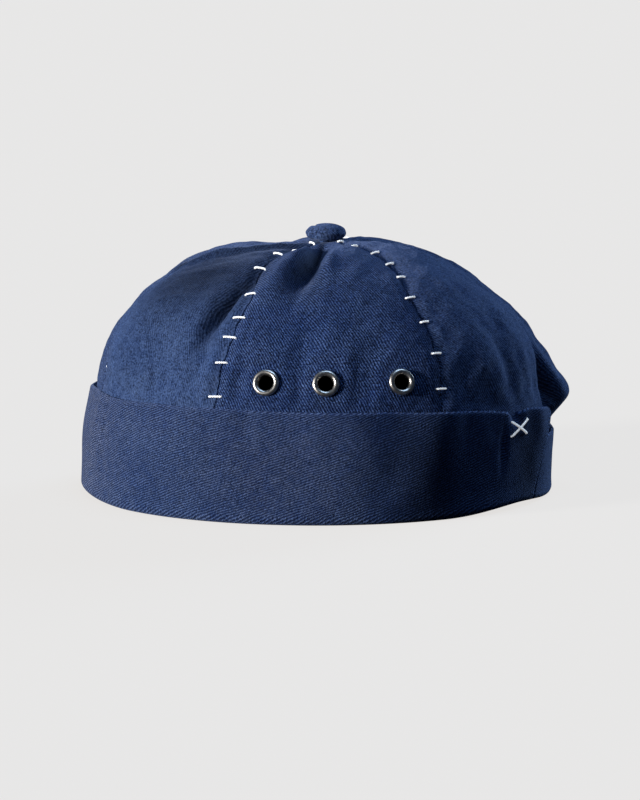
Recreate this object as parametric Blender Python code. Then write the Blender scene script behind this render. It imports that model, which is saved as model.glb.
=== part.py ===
"""Brimless sailor cap in navy cotton twill, at its real size in metres, +Z up.

Six sewn panels make the crown. A doubled cuff is turned up round it from the rim and leaves the nape free,
where a lower band shows and the crown stands out in a pleat. A cloth-covered button closes the top, and
three metal eyelets air each side.

The forehead is at -X, the nape at +X and the wearer's left side at -Y. Azimuths are degrees round the cap:
0 is the wearer's left side, 90 the nape and -90 the forehead. Lengths in the tables are shares of a named
size.
"""

import math
from bisect import bisect_right
from collections import namedtuple

import bmesh
import bpy
from mathutils import Vector

# Driving sizes of the cap
RIM_LENGTH = 0.205  # outside of the cuff at the rim, forehead to nape
RIM_WIDTH = 0.184  # outside of the cuff at the rim, side to side
CROWN_HEIGHT = 0.1080  # floor to the outside of the crown, under the button
APEX_SHIFT = 0.0038  # the button sits this far behind the middle of the rim
CLOTH = 0.0012  # one layer of twill with its seam tape
CLEARANCE = 0.0003  # between sewn pieces

# Cuff, nape band and the pleat above the band
CUFF_WALL = 0.0022
CUFF_HEIGHT = 0.0466
CUFF_DROOP = 0.0085  # how much lower the cuff is at its two ends
CUFF_SLACK = 0.0012  # how far the cuff's top edge stands off the crown
BAND_WALL = 0.0018
BAND_HEIGHT = 0.0277
HEM_HEIGHT = 0.012  # the cuff's inner ply, above the rim
HEM_WALL = 0.0012
PLEAT_REACH = 0.0066  # how far the nape pleat stands out past the rim
CUFF_END_TOP = 74.5  # azimuth of the cuff's end at its top corner, degrees
CUFF_END_FOOT = 63.0  # and at the rim, because the end is cut on a slant
DROOP_START = 105.0  # the cuff starts to droop this far round from the forehead, degrees

# Button and eyelets
BUTTON_DIAMETER = 0.0174
BUTTON_HEIGHT = 0.0070
POST_DIAMETER = 0.0056
POST_FLANGE_DIAMETER = 0.012
POST_FLANGE_WALL = 0.0010
EYELET_DIAMETER = 0.0110
EYELET_HOLE = 0.0064
EYELET_METAL = 0.00045
EYELET_DOME = 0.0011  # height of the rounded outer flange
EYELET_BACK_DIAMETER = 0.0098
EYELET_HEIGHT = 0.0573  # centre above the floor
EYELET_SEAT = 0.0005  # between a flange and the curved cloth under it
EYELET_AZIMUTHS = {"front": -13.8, "middle": 1.0, "back": 20.0}
EYELET_FLAT = 0.0065  # the cloth lies flat this far round an eyelet's centre

# Sizes that follow from the driving ones
RIM_CENTRE_X = -PLEAT_REACH / 2  # the origin is midway between the rim's front and the pleat's back
FOOT_Z = CUFF_WALL + CLEARANCE  # height of the crown's lower edge above the rim, on the fold of the cuff
CROWN_HALF_LENGTH = RIM_LENGTH / 2 - CUFF_WALL - CLEARANCE
CROWN_HALF_WIDTH = RIM_WIDTH / 2 - CUFF_WALL - CLEARANCE
TIP_RADIUS = POST_DIAMETER / 2 + CLEARANCE

# Mesh resolution
PANEL_COLUMNS = 12
PANEL_ROWS = 18
CUFF_STEPS = 54
BAND_STEPS = 9
EYELET_SIDES = 14
BUTTON_SIDES = 24
TABLE_STEPS = 240

# The crown from rim to button: rise is a share of the crown's height above its foot, the others are shares
# of the crown's half length towards the forehead, its half width, and its half length towards the nape.
Section = namedtuple("Section", "rise front side back")
CROWN_SECTIONS = (
    Section(0.000, 1.000, 1.000, 1.000),
    Section(0.200, 0.991, 0.994, 0.995),
    Section(0.350, 0.974, 0.983, 0.978),
    Section(0.444, 0.962, 0.966, 0.960),
    Section(0.537, 0.942, 0.933, 0.944),
    Section(0.610, 0.908, 0.896, 0.906),
    Section(0.715, 0.828, 0.816, 0.822),
    Section(0.803, 0.725, 0.732, 0.704),
    Section(0.872, 0.608, 0.636, 0.594),
    Section(0.923, 0.495, 0.528, 0.484),
    Section(0.959, 0.372, 0.418, 0.388),
    Section(0.983, 0.235, 0.280, 0.270),
    Section(0.997, 0.100, 0.130, 0.118),
)

# Seams half way up the crown, in order round it, and how far each leans along the rim at its foot and top
Seam = namedtuple("Seam", "name azimuth foot_lean top_lean")
SEAMS = (
    Seam("front", -92.0, 18.0, 17.0),
    Seam("left_front", -26.0, -1.0, -15.0),
    Seam("left_back", 31.2, 0.0, 8.0),
    Seam("back", 91.0, 0.0, 0.0),
    Seam("right_back", 151.0, 0.0, 0.0),
    Seam("right_front", 211.0, 0.0, 0.0),
)
FOOT_LEAN_RISES = (0.40, 0.78)  # the foot's lean dies out between these rises
TOP_LEAN_RISES = (0.80, 1.0)  # and the top's lean grows between these
SEAM_GROOVE_DEPTH = 0.0009
SEAM_GROOVE_WIDTH = 0.0040

# Panels between one seam and the next: fullness is how far the cloth billows, a share of the crown's height
Panel = namedtuple("Panel", "name fullness")
PANELS = (
    Panel("panel_front_left", 0.020),
    Panel("panel_left_side", 0.012),
    Panel("panel_back_left", 0.012),
    Panel("panel_back_right", 0.014),
    Panel("panel_right_side", 0.018),
    Panel("panel_front_right", 0.034),
)

# The rim doesn't lie flat all round: where it lifts off the floor, over what half angle, and by how much
Lift = namedtuple("Lift", "azimuth half_angle height")
RIM_LIFTS = (
    Lift(56.0, 24.0, 0.0021),
    Lift(-84.0, 34.0, 0.0016),
)

# Folds and dents: where each is centred, how its run turns from straight up, and its half length, half width
# and depth as shares of the crown's height. A negative depth is a dent.
Fold = namedtuple("Fold", "azimuth rise turn length width depth")
FOLDS = (
    Fold(-95.0, 0.985, 0.0, 0.130, 0.220, -0.034),
    Fold(-95.0, 0.870, 0.0, 0.100, 0.200, 0.012),
    Fold(-7.5, 0.968, 0.0, 0.200, 0.040, -0.056),
    Fold(-10.5, 0.890, 4.0, 0.160, 0.042, -0.030),
    Fold(-20.0, 0.930, 6.0, 0.170, 0.045, 0.024),
    Fold(9.0, 0.920, 0.0, 0.180, 0.090, 0.014),
    Fold(-36.0, 0.790, -2.0, 0.250, 0.060, -0.026),
    Fold(-46.0, 0.860, -10.0, 0.200, 0.150, -0.024),
    Fold(-62.0, 0.700, -10.0, 0.300, 0.120, 0.016),
    Fold(-5.0, 0.620, 0.0, 0.200, 0.050, -0.014),
    Fold(-20.0, 0.530, 0.0, 0.100, 0.035, -0.014),
    Fold(12.0, 0.560, 0.0, 0.160, 0.055, -0.018),
    Fold(47.0, 0.600, -8.0, 0.220, 0.070, 0.010),
    Fold(54.0, 0.520, -6.0, 0.140, 0.050, -0.013),
    Fold(-46.0, 0.520, 4.0, 0.150, 0.060, -0.014),
    Fold(79.0, 0.420, -2.0, 0.140, 0.040, -0.055),
    Fold(103.0, 0.420, 2.0, 0.140, 0.040, -0.055),
    Fold(165.0, 0.640, 5.0, 0.260, 0.110, 0.014),
    Fold(-165.0, 0.560, 0.0, 0.160, 0.080, -0.014),
    Fold(-128.0, 0.600, -4.0, 0.220, 0.090, 0.014),
)

# The pleat above the nape band, where the crown is wider than the band that holds it
PLEAT_AZIMUTH = 91.0
PLEAT_RISE = 0.385  # height of its fullest point, as a share of the crown's height
PLEAT_HALF_ANGLE = 12.5
PLEAT_TOP = 0.61  # where it dies out above, and the band holds it flat below

# Where the panels start to billow and where they reach their fullness, as rises
BILLOW_RISES = (0.42, 0.74)
# The folds die out by the button between these distances from its middle, as shares of its diameter
BUTTON_FADE = (0.45, 0.90)


def smooth_step(low, high, value):
    """0 below low, 1 above high, and a smooth S between them."""
    share = min(1.0, max(0.0, (value - low) / (high - low)))
    return share * share * (3.0 - 2.0 * share)


def through_rows(rows, knots, at):
    """A smooth curve through rows of numbers, one at each knot."""
    low = max(0, min(len(rows) - 2, bisect_right(knots, at) - 1))
    span = knots[low + 1] - knots[low]
    share = (at - knots[low]) / span

    def slope(index, column):
        before, after = max(index - 1, 0), min(index + 1, len(rows) - 1)
        return (rows[after][column] - rows[before][column]) / (knots[after] - knots[before])

    cube, square = share**3, share**2
    found = []
    for column in range(len(rows[0])):
        start, end = rows[low][column], rows[low + 1][column]
        found.append(
            (2 * cube - 3 * square + 1) * start
            + (cube - 2 * square + share) * span * slope(low, column)
            + (3 * square - 2 * cube) * end
            + (cube - square) * span * slope(low + 1, column)
        )
    return found


def turned(azimuth, centre):
    """Azimuth measured from a centre, from -180 to 180."""
    return (azimuth - centre + 180.0) % 360.0 - 180.0


def rim_lift(azimuth):
    """How far the underside of the cuff is off the floor."""
    height = 0.0
    for lift in RIM_LIFTS:
        height += lift.height * (1.0 - smooth_step(0.0, lift.half_angle, abs(turned(azimuth, lift.azimuth))))
    return height


def height_of(rise, azimuth=None):
    """Height above the floor of a rise of the crown, over the rim's lift where an azimuth is given."""
    foot = FOOT_Z + (0.0 if azimuth is None else rim_lift(azimuth))
    return foot + rise * (CROWN_HEIGHT - foot)


def share_at_height(height, azimuth):
    """The share of the way up the crown at which it has this height above the floor."""
    foot = FOOT_Z + rim_lift(azimuth)
    return share_at_rise(max(0.0, (height - foot) / (CROWN_HEIGHT - foot)))


def running_lengths(rows):
    """Distance walked up the side of the crown to each row."""
    lengths = [0.0]
    for before, after in zip(rows, rows[1:]):
        up = height_of(after[0]) - height_of(before[0])
        lengths.append(lengths[-1] + math.hypot(up, (after[2] - before[2]) * CROWN_HALF_WIDTH))
    return lengths


def meridian_table():
    """The crown's sections at even steps of length from rim to button, ending round the button's post."""
    tip = Section(
        1.0, TIP_RADIUS / CROWN_HALF_LENGTH, TIP_RADIUS / CROWN_HALF_WIDTH, TIP_RADIUS / CROWN_HALF_LENGTH
    )
    rows = [*CROWN_SECTIONS, tip]
    knots = running_lengths(rows)
    dense = [through_rows(rows, knots, knots[-1] * step / TABLE_STEPS) for step in range(TABLE_STEPS + 1)]
    return dense, knots[-1]


MERIDIAN, MERIDIAN_LENGTH = meridian_table()


def section_at(share):
    """The crown's section at a share of the way up from rim to button."""
    place = min(1.0, max(0.0, share)) * TABLE_STEPS
    low = min(int(place), TABLE_STEPS - 1)
    return Section(*(a + (b - a) * (place - low) for a, b in zip(MERIDIAN[low], MERIDIAN[low + 1])))


def share_at_rise(rise):
    """The share of the way up at which the crown has this rise."""
    rises = [row[0] for row in MERIDIAN]
    low = max(0, min(TABLE_STEPS - 1, bisect_right(rises, rise) - 1))
    return (low + (rise - rises[low]) / (rises[low + 1] - rises[low])) / TABLE_STEPS


def crown_base(azimuth, share):
    """A point of the crown before its folds."""
    section = section_at(share)
    along, across = math.sin(math.radians(azimuth)), -math.cos(math.radians(azimuth))
    lengthwise = section.front if along < 0 else section.back
    return Vector((
        RIM_CENTRE_X + APEX_SHIFT * section.rise + along * CROWN_HALF_LENGTH * lengthwise,
        across * CROWN_HALF_WIDTH * section.side,
        height_of(section.rise, azimuth),
    ))


def crown_normal(azimuth, share, shape):
    """The outward direction of a surface given as a function of azimuth and share."""
    turn, climb = 0.5, 0.004
    low, high = max(0.0, share - climb), min(1.0, share + climb)
    round_cap = shape(azimuth + turn, share) - shape(azimuth - turn, share)
    up_cap = shape(azimuth, high) - shape(azimuth, low)
    return round_cap.cross(up_cap).normalized()


def cuff_top(azimuth):
    """Height of the cuff's top edge. It droops towards its two ends at the nape."""
    from_forehead = abs((azimuth + 90.0 + 180.0) % 360.0 - 180.0)
    last = 90.0 + CUFF_END_TOP
    return CUFF_HEIGHT - CUFF_DROOP * min(1.0, max(0.0, from_forehead - DROOP_START) / (last - DROOP_START))


def seam_azimuth(seam, rise):
    foot, top = 1.0 - smooth_step(*FOOT_LEAN_RISES, rise), smooth_step(*TOP_LEAN_RISES, rise)
    return seam.azimuth + seam.foot_lean * foot + seam.top_lean * top


def seam_and_fullness(azimuth, section, radius):
    """The groove at the nearest seam and the billow of the panel between two seams."""
    groove, billow = 0.0, 0.0
    for index, seam in enumerate(SEAMS):
        here = seam_azimuth(seam, section.rise)
        following = seam_azimuth(SEAMS[(index + 1) % len(SEAMS)], section.rise)
        width = (following - here) % 360.0
        past = (azimuth - here) % 360.0
        distance = math.radians(abs(turned(azimuth, here))) * radius
        groove = max(groove, math.exp(-((distance / SEAM_GROOVE_WIDTH) ** 2)))
        if past <= width:
            billow = PANELS[index].fullness * CROWN_HEIGHT * math.sin(math.pi * past / width)
    window = smooth_step(*BILLOW_RISES, section.rise) * (1.0 - 0.35 * smooth_step(0.94, 1.0, section.rise))
    return billow * window - groove * SEAM_GROOVE_DEPTH


def fold_depth(azimuth, share, radius):
    """All the folds and dents at one place."""
    depth = 0.0
    for fold in FOLDS:
        across = math.radians(turned(azimuth, fold.azimuth)) * radius
        along = (share - share_at_rise(fold.rise)) * MERIDIAN_LENGTH
        turn = math.radians(fold.turn)
        run = along * math.cos(turn) + across * math.sin(turn)
        side = across * math.cos(turn) - along * math.sin(turn)
        reach = (run / (fold.length * CROWN_HEIGHT)) ** 2 + (side / (fold.width * CROWN_HEIGHT)) ** 2
        depth += fold.depth * CROWN_HEIGHT * math.exp(-reach)
    return depth


def pleat_depth(azimuth, height):
    """The pleat that stands out over the nape band."""
    turn = abs(turned(azimuth, PLEAT_AZIMUTH)) / PLEAT_HALF_ANGLE
    peak = PLEAT_RISE * CROWN_HEIGHT
    below = smooth_step(BAND_HEIGHT + 0.001, peak, height)
    above = 1.0 - smooth_step(peak, PLEAT_TOP * CROWN_HEIGHT, height)
    base = crown_base(PLEAT_AZIMUTH, share_at_height(peak, PLEAT_AZIMUTH))
    wanted = RIM_CENTRE_X + RIM_LENGTH / 2 + PLEAT_REACH - base.x
    return wanted * min(below, above) * math.sqrt(max(0.0, 1.0 - turn * turn))


def flat_by_eyelets(base):
    """0 where an eyelet holds the cloth flat, 1 away from the eyelets."""
    clear = 1.0
    for azimuth in EYELET_AZIMUTHS.values():
        for here in (azimuth, 180.0 - azimuth):
            centre = crown_base(here, share_at_height(EYELET_HEIGHT, here))
            clear = min(clear, smooth_step(EYELET_FLAT, 2 * EYELET_FLAT, (base - centre).length))
    return clear


def crown_point(azimuth, share):
    """A point of the crown's outer face, with its seams, folds and the nape pleat."""
    section = section_at(share)
    base = crown_base(azimuth, share)
    radius = math.hypot(base.x - RIM_CENTRE_X - APEX_SHIFT * section.rise, base.y)
    over_cuff = smooth_step(cuff_top(azimuth) - 0.002, cuff_top(azimuth) + 0.010, base.z)
    by_button = smooth_step(*BUTTON_FADE, radius / BUTTON_DIAMETER)
    relief = seam_and_fullness(azimuth, section, radius) + fold_depth(azimuth, share, radius)
    depth = relief * over_cuff * by_button * flat_by_eyelets(base) + pleat_depth(azimuth, base.z)
    return base + crown_normal(azimuth, share, crown_base) * depth


def new_object(name, mesh, material, smooth=True):
    if smooth:
        mesh.shade_smooth()
        mesh.set_sharp_from_angle(angle=math.radians(50))
    mesh.materials.append(material)
    made = bpy.data.objects.new(name, mesh)
    bpy.context.scene.collection.objects.link(made)
    return made


def mesh_from(name, bm):
    bmesh.ops.recalc_face_normals(bm, faces=bm.faces)
    mesh = bpy.data.meshes.new(name)
    bm.to_mesh(mesh)
    bm.free()
    return mesh


def plain_material(name, colour, roughness, metallic=0.0):
    material = bpy.data.materials.new(name)
    material.use_nodes = True
    shader = material.node_tree.nodes["Principled BSDF"]
    shader.inputs["Base Color"].default_value = (*colour, 1.0)
    shader.inputs["Roughness"].default_value = roughness
    shader.inputs["Metallic"].default_value = metallic
    return material


def panel_mesh(index):
    """The outer face of one crown panel, as a grid between its two seams."""
    first, second = SEAMS[index], SEAMS[(index + 1) % len(SEAMS)]
    bm = bmesh.new()
    grid = []
    for row in range(PANEL_ROWS + 1):
        share = row / PANEL_ROWS
        section = section_at(share)
        start = seam_azimuth(first, section.rise)
        width = (seam_azimuth(second, section.rise) - start) % 360.0
        radius = min(section.front, section.back) * CROWN_HALF_LENGTH
        radius = min(radius, section.side * CROWN_HALF_WIDTH)
        inset = math.degrees(CLEARANCE / 2 / radius)
        step = (width - 2 * inset) / PANEL_COLUMNS
        azimuths = [start + inset + step * column for column in range(PANEL_COLUMNS + 1)]
        grid.append([bm.verts.new(crown_point(azimuth, share)) for azimuth in azimuths])
    for lower, upper in zip(grid, grid[1:]):
        for column in range(PANEL_COLUMNS):
            bm.faces.new((lower[column], lower[column + 1], upper[column + 1], upper[column]))
    mesh = bpy.data.meshes.new(PANELS[index].name)
    bm.to_mesh(mesh)
    bm.free()
    return mesh


def build_panels(twill):
    panels = []
    for index, panel in enumerate(PANELS):
        made = new_object(panel.name, panel_mesh(index), twill)
        wall = made.modifiers.new("cloth", "SOLIDIFY")
        wall.thickness = CLOTH
        wall.offset = -1.0
        wall.use_even_offset = True
        panels.append(made)
    return panels


def wall_at(azimuth, height):
    """The crown's outer face behind the cuff, and the level direction out of it."""
    share = share_at_height(height, azimuth)
    point = crown_base(azimuth, share)
    outward = crown_normal(azimuth, share, crown_base)
    outward.z = 0.0
    return Vector((point.x, point.y, height)), outward.normalized()


def turned_up_section(rim, top, wall, slack):
    """A cloth strip turned up from the rim, as (distance out from the crown, height) round its outline.

    It runs down the outside of the strip from its top edge, under the fold and up to the hem inside the
    crown, then back along the side that faces the crown, whose lower edge stands in the fold.
    """
    gap, inside = CLEARANCE, -CLOTH - CLEARANCE
    fold, hem = rim + FOOT_Z - CLEARANCE, HEM_HEIGHT
    outer_rows = [fold + (top - fold) * share for share in (0.70, 0.42, 0.20)]
    stands = [gap + slack * smooth_step(0.0, 1.0, (row - fold) / (top - fold)) for row in outer_rows]
    hem_row = (fold + hem) / 2
    outside = [
        (gap + slack + 0.70 * wall, top),
        (gap + slack + wall, top - 0.35 * wall),
        *[(stand + wall, row) for stand, row in zip(stands, outer_rows)],
        (gap + wall, fold + 0.5 * wall),
        (gap + 0.70 * wall, rim + 0.30 * wall),
        (gap, rim),
        (inside, rim),
        (inside - 0.80 * HEM_WALL, rim + 0.45 * wall),
        (inside - HEM_WALL, fold),
        (inside - HEM_WALL, hem_row),
        (inside - HEM_WALL, hem - 0.4 * HEM_WALL),
        (inside - 0.70 * HEM_WALL, hem),
    ]
    crown_side = [
        (inside - 0.30 * HEM_WALL, hem),
        (inside, hem - 0.4 * HEM_WALL),
        (inside, hem_row),
        (inside, fold),
        (gap, fold),
        (gap, fold + 0.5 * wall),
        *[(stand, row) for stand, row in zip(reversed(stands), reversed(outer_rows))],
        (gap + slack, top - 0.35 * wall),
        (gap + slack + 0.30 * wall, top),
    ]
    return outside, crown_side


def end_faces(bm, outside, crown_side):
    """Close one end of a strip: rungs down both plies, and one face across the fold between them."""
    ply_rungs, hem_rungs = 5, 3
    facing = crown_side[::-1]
    for first, count in ((0, ply_rungs), (len(outside) - 1 - hem_rungs, hem_rungs)):
        shift = 0 if first == 0 else len(facing) - len(outside)
        for row in range(first, first + count):
            bm.faces.new((outside[row], outside[row + 1], facing[row + 1 + shift], facing[row + shift]))
    across = outside[ply_rungs : len(outside) - hem_rungs]
    back = facing[ply_rungs : len(facing) - hem_rungs]
    bmesh.ops.triangulate(bm, faces=[bm.faces.new([*across, *back[::-1]])])


def sweep(name, sections, material):
    """One closed strip through its sections, with faces across each end."""
    bm = bmesh.new()
    strips = [[[bm.verts.new(point) for point in side] for side in section] for section in sections]
    rings = [[*outside, *crown_side] for outside, crown_side in strips]
    for ring, following in zip(rings, rings[1:]):
        for index in range(len(ring)):
            after = (index + 1) % len(ring)
            bm.faces.new((ring[index], ring[after], following[after], following[index]))
    for end in (strips[0], strips[-1]):
        end_faces(bm, *end)
    return new_object(name, mesh_from(name, bm), material)


def end_azimuth(height, top):
    """Where the cuff ends at a height, on the side at which azimuth is under 90."""
    return CUFF_END_FOOT + (CUFF_END_TOP - CUFF_END_FOOT) * min(1.0, height / top)


def strip_sections(first, last, steps, top_of, wall, slack):
    """Sections of a turned-up strip between two ends, each given as an azimuth for a height."""
    sections = []
    for step in range(steps + 1):
        share = step / steps
        at_foot = first(0.0) + (last(0.0) - first(0.0)) * share
        at_top = first(CUFF_HEIGHT) + (last(CUFF_HEIGHT) - first(CUFF_HEIGHT)) * share
        sides = []
        for side in turned_up_section(rim_lift(at_foot), top_of(at_top), wall, slack):
            points = []
            for out, height in side:
                azimuth = first(height) + (last(height) - first(height)) * share
                point, outward = wall_at(azimuth, height)
                points.append(point + outward * out)
            sides.append(points)
        sections.append(sides)
    return sections


def build_cuff(twill):
    """The cuff runs from one side of the nape round the forehead to the other side."""
    top = CUFF_HEIGHT - CUFF_DROOP

    def far_end(height):
        return -180.0 - end_azimuth(height, top)

    def near_end(height):
        return end_azimuth(height, top)

    sections = strip_sections(far_end, near_end, CUFF_STEPS, cuff_top, CUFF_WALL, CUFF_SLACK)
    return sweep("cuff", sections, twill)


def build_band(twill):
    """The nape band fills the space between the cuff's ends, lower than the cuff."""
    top = CUFF_HEIGHT - CUFF_DROOP
    margin = math.degrees(CLEARANCE / CROWN_HALF_WIDTH) * 1.4

    def near_end(height):
        return end_azimuth(height, top) + margin

    def far_end(height):
        return 180.0 - end_azimuth(height, top) - margin

    return sweep(
        "nape_band",
        strip_sections(near_end, far_end, BAND_STEPS, lambda azimuth: BAND_HEIGHT, BAND_WALL, 0.0),
        twill,
    )


def turn_profile(name, profile, sides, closed):
    """A round piece: its profile, as (radius, height), turned about Z."""
    bm = bmesh.new()
    points = [bm.verts.new((radius, 0.0, height)) for radius, height in profile]
    edges = [bm.edges.new(pair) for pair in zip(points, points[1:])]
    if closed:
        edges.append(bm.edges.new((points[-1], points[0])))
    profile_line = [*points, *edges]
    bmesh.ops.spin(
        bm, geom=profile_line, cent=(0, 0, 0), axis=(0, 0, 1), angle=math.tau, steps=sides, use_merge=True
    )
    bmesh.ops.remove_doubles(bm, verts=bm.verts, dist=1e-6)
    return mesh_from(name, bm)


def arc(centre, radii, start, end, steps):
    """Points on an arc of an ellipse, as (radius, height), between two angles in degrees."""
    found = []
    for step in range(steps + 1):
        angle = math.radians(start + (end - start) * step / steps)
        found.append((centre[0] + radii[0] * math.cos(angle), centre[1] + radii[1] * math.sin(angle)))
    return found


def build_button(twill):
    """The covered button, with the post that goes through the crown and its flange inside."""
    radius, edge = BUTTON_DIAMETER / 2, 0.42 * BUTTON_HEIGHT
    under_crown = CROWN_HEIGHT - CLOTH - 2 * CLEARANCE
    underside = CROWN_HEIGHT + CLEARANCE
    dome = arc((0.0, underside + edge), (radius, BUTTON_HEIGHT - edge), 90.0, 0.0, 5)
    skirt = arc((radius - edge, underside + edge), (edge, edge), -30.0, -90.0, 2)
    profile = [
        *dome,
        *skirt,
        (POST_DIAMETER / 2, underside),
        (POST_DIAMETER / 2, under_crown),
        (POST_FLANGE_DIAMETER / 2, under_crown),
        (POST_FLANGE_DIAMETER / 2, under_crown - POST_FLANGE_WALL),
        (0.0, under_crown - POST_FLANGE_WALL),
    ]
    button = new_object("top_button", turn_profile("top_button", profile, BUTTON_SIDES, False), twill)
    button.location.x = RIM_CENTRE_X + APEX_SHIFT
    return button


def eyelet_profile():
    """The eyelet's metal: a rounded flange outside, a barrel through the cloth and a flat flange inside."""
    hole, flange, back = EYELET_HOLE / 2, EYELET_DIAMETER / 2, EYELET_BACK_DIAMETER / 2
    barrel = hole + EYELET_METAL
    inner_face = -CLOTH - EYELET_SEAT
    middle, half = (hole + flange) / 2, (flange - hole) / 2
    return [
        *arc((middle, EYELET_SEAT), (half, EYELET_DOME), 0.0, 180.0, 4),
        (hole, inner_face - EYELET_METAL),
        (back, inner_face - EYELET_METAL),
        (back, inner_face),
        (barrel, inner_face),
        (barrel, EYELET_SEAT),
    ]


def build_eyelets(metal, panels):
    """Three eyelets in each side panel, each square to the cloth, with its hole cut through the panel."""
    by_name = {panel.name: panel for panel in panels}
    eyelet_mesh = turn_profile("eyelet", eyelet_profile(), EYELET_SIDES, True)
    for side, panel_name in (("left", "panel_left_side"), ("right", "panel_right_side")):
        for place, azimuth in EYELET_AZIMUTHS.items():
            here = azimuth if side == "left" else 180.0 - azimuth
            share = share_at_height(EYELET_HEIGHT, here)
            centre, outward = crown_point(here, share), crown_normal(here, share, crown_point)
            facing = outward.to_track_quat("Z", "Y")
            eyelet = new_object(f"eyelet_{side}_{place}", eyelet_mesh.copy(), metal)
            eyelet.location, eyelet.rotation_mode, eyelet.rotation_quaternion = centre, "QUATERNION", facing
            cutter = eyelet_cutter(f"hole_{side}_{place}")
            cutter.location, cutter.rotation_mode, cutter.rotation_quaternion = centre, "QUATERNION", facing
            hole = by_name[panel_name].modifiers.new(cutter.name, "BOOLEAN")
            hole.operation, hole.solver, hole.object = "DIFFERENCE", "EXACT", cutter


def eyelet_cutter(name):
    """A drill through the cloth, wider than the eyelet's barrel by the clearance."""
    bm = bmesh.new()
    radius = EYELET_HOLE / 2 + EYELET_METAL + CLEARANCE
    bmesh.ops.create_cone(
        bm, cap_ends=True, segments=EYELET_SIDES, radius1=radius, radius2=radius, depth=10 * CLOTH
    )
    mesh = bpy.data.meshes.new(name)
    bm.to_mesh(mesh)
    bm.free()
    cutter = bpy.data.objects.new(name, mesh)
    cutter.hide_render, cutter.display_type = True, "WIRE"
    bpy.context.scene.collection.objects.link(cutter)
    return cutter


def main():
    for old in list(bpy.data.objects):
        bpy.data.objects.remove(old)
    twill = plain_material("navy_twill", (0.030, 0.050, 0.125), 0.85)
    metal = plain_material("nickel", (0.42, 0.41, 0.40), 0.22, 1.0)
    panels = build_panels(twill)
    build_cuff(twill)
    build_band(twill)
    build_button(twill)
    build_eyelets(metal, panels)


main()
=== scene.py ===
"""The looks of a brimless sailor cap: washed navy twill, sewn panels, hand stitches and metal eyelets.

Azimuths are degrees round the cap: 0 is the wearer's left side, 90 the nape and -90 the forehead. Heights
are above the floor that the cap stands on. A share runs from the crown's lower edge, 0, up to the button,
1, along the cloth, and a rise does so by height. Lengths and depths in the tables of folds are shares of the
crown's height.
"""

import math
from bisect import bisect_right
from collections import namedtuple
from functools import partial

import bmesh
import bpy
import numpy as np
from bpy.props import FloatProperty, FloatVectorProperty, IntProperty, PointerProperty
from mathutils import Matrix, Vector


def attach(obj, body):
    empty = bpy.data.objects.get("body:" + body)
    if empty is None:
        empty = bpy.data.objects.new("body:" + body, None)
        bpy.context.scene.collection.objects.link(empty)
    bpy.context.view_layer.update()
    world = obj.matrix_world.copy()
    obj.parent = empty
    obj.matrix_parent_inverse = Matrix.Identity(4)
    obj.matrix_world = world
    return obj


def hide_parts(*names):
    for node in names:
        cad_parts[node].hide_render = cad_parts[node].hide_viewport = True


bl_info = {
    "name": "Sailor cap",
    "version": (1, 0, 0),
    "blender": (4, 5, 0),
    "location": "View3D > Sidebar > Cap",
    "description": "Dresses a brimless sailor cap with its cloth, seams, stitches and eyelets",
    "category": "Object",
}

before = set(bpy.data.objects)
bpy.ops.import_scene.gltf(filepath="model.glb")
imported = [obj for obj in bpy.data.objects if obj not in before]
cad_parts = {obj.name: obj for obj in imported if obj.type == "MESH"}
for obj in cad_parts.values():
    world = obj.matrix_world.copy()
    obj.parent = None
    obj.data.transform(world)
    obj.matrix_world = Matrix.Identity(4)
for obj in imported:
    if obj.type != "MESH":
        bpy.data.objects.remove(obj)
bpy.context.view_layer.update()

# Sizes of the cap
RIM_LENGTH = 0.205
RIM_WIDTH = 0.184
CROWN_HEIGHT = 0.1080
APEX_SHIFT = 0.0038
CLOTH = 0.0012
CLEARANCE = 0.0003
CUFF_WALL = 0.0022
CUFF_HEIGHT = 0.0466
CUFF_DROOP = 0.0085
CUFF_SLACK = 0.0012
BAND_WALL = 0.0018
BAND_HEIGHT = 0.0277
HEM_HEIGHT = 0.012
HEM_WALL = 0.0012
PLEAT_REACH = 0.0066
CUFF_END_TOP = 74.5
CUFF_END_FOOT = 63.0
DROOP_START = 105.0
BUTTON_DIAMETER = 0.0174
BUTTON_HEIGHT = 0.0070
POST_DIAMETER = 0.0056
POST_FLANGE_DIAMETER = 0.012
POST_FLANGE_WALL = 0.0010
EYELET_DIAMETER = 0.0110
EYELET_HOLE = 0.0064
EYELET_METAL = 0.00045
EYELET_DOME = 0.0011
EYELET_BACK_DIAMETER = 0.0098
EYELET_HEIGHT = 0.0573
EYELET_SEAT = 0.0005
EYELET_AZIMUTHS = {"front": -13.8, "middle": 1.0, "back": 20.0}
EYELET_FLAT = 0.0065

# Sizes that follow from them
RIM_CENTRE_X = -PLEAT_REACH / 2
FOOT_Z = CUFF_WALL + CLEARANCE
CROWN_HALF_LENGTH = RIM_LENGTH / 2 - CUFF_WALL - CLEARANCE
CROWN_HALF_WIDTH = RIM_WIDTH / 2 - CUFF_WALL - CLEARANCE
TIP_RADIUS = POST_DIAMETER / 2 + CLEARANCE
MEAN_RADIUS = (CROWN_HALF_LENGTH + CROWN_HALF_WIDTH) / 2
UP = np.array([0.0, 0.0, 1.0])

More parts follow.
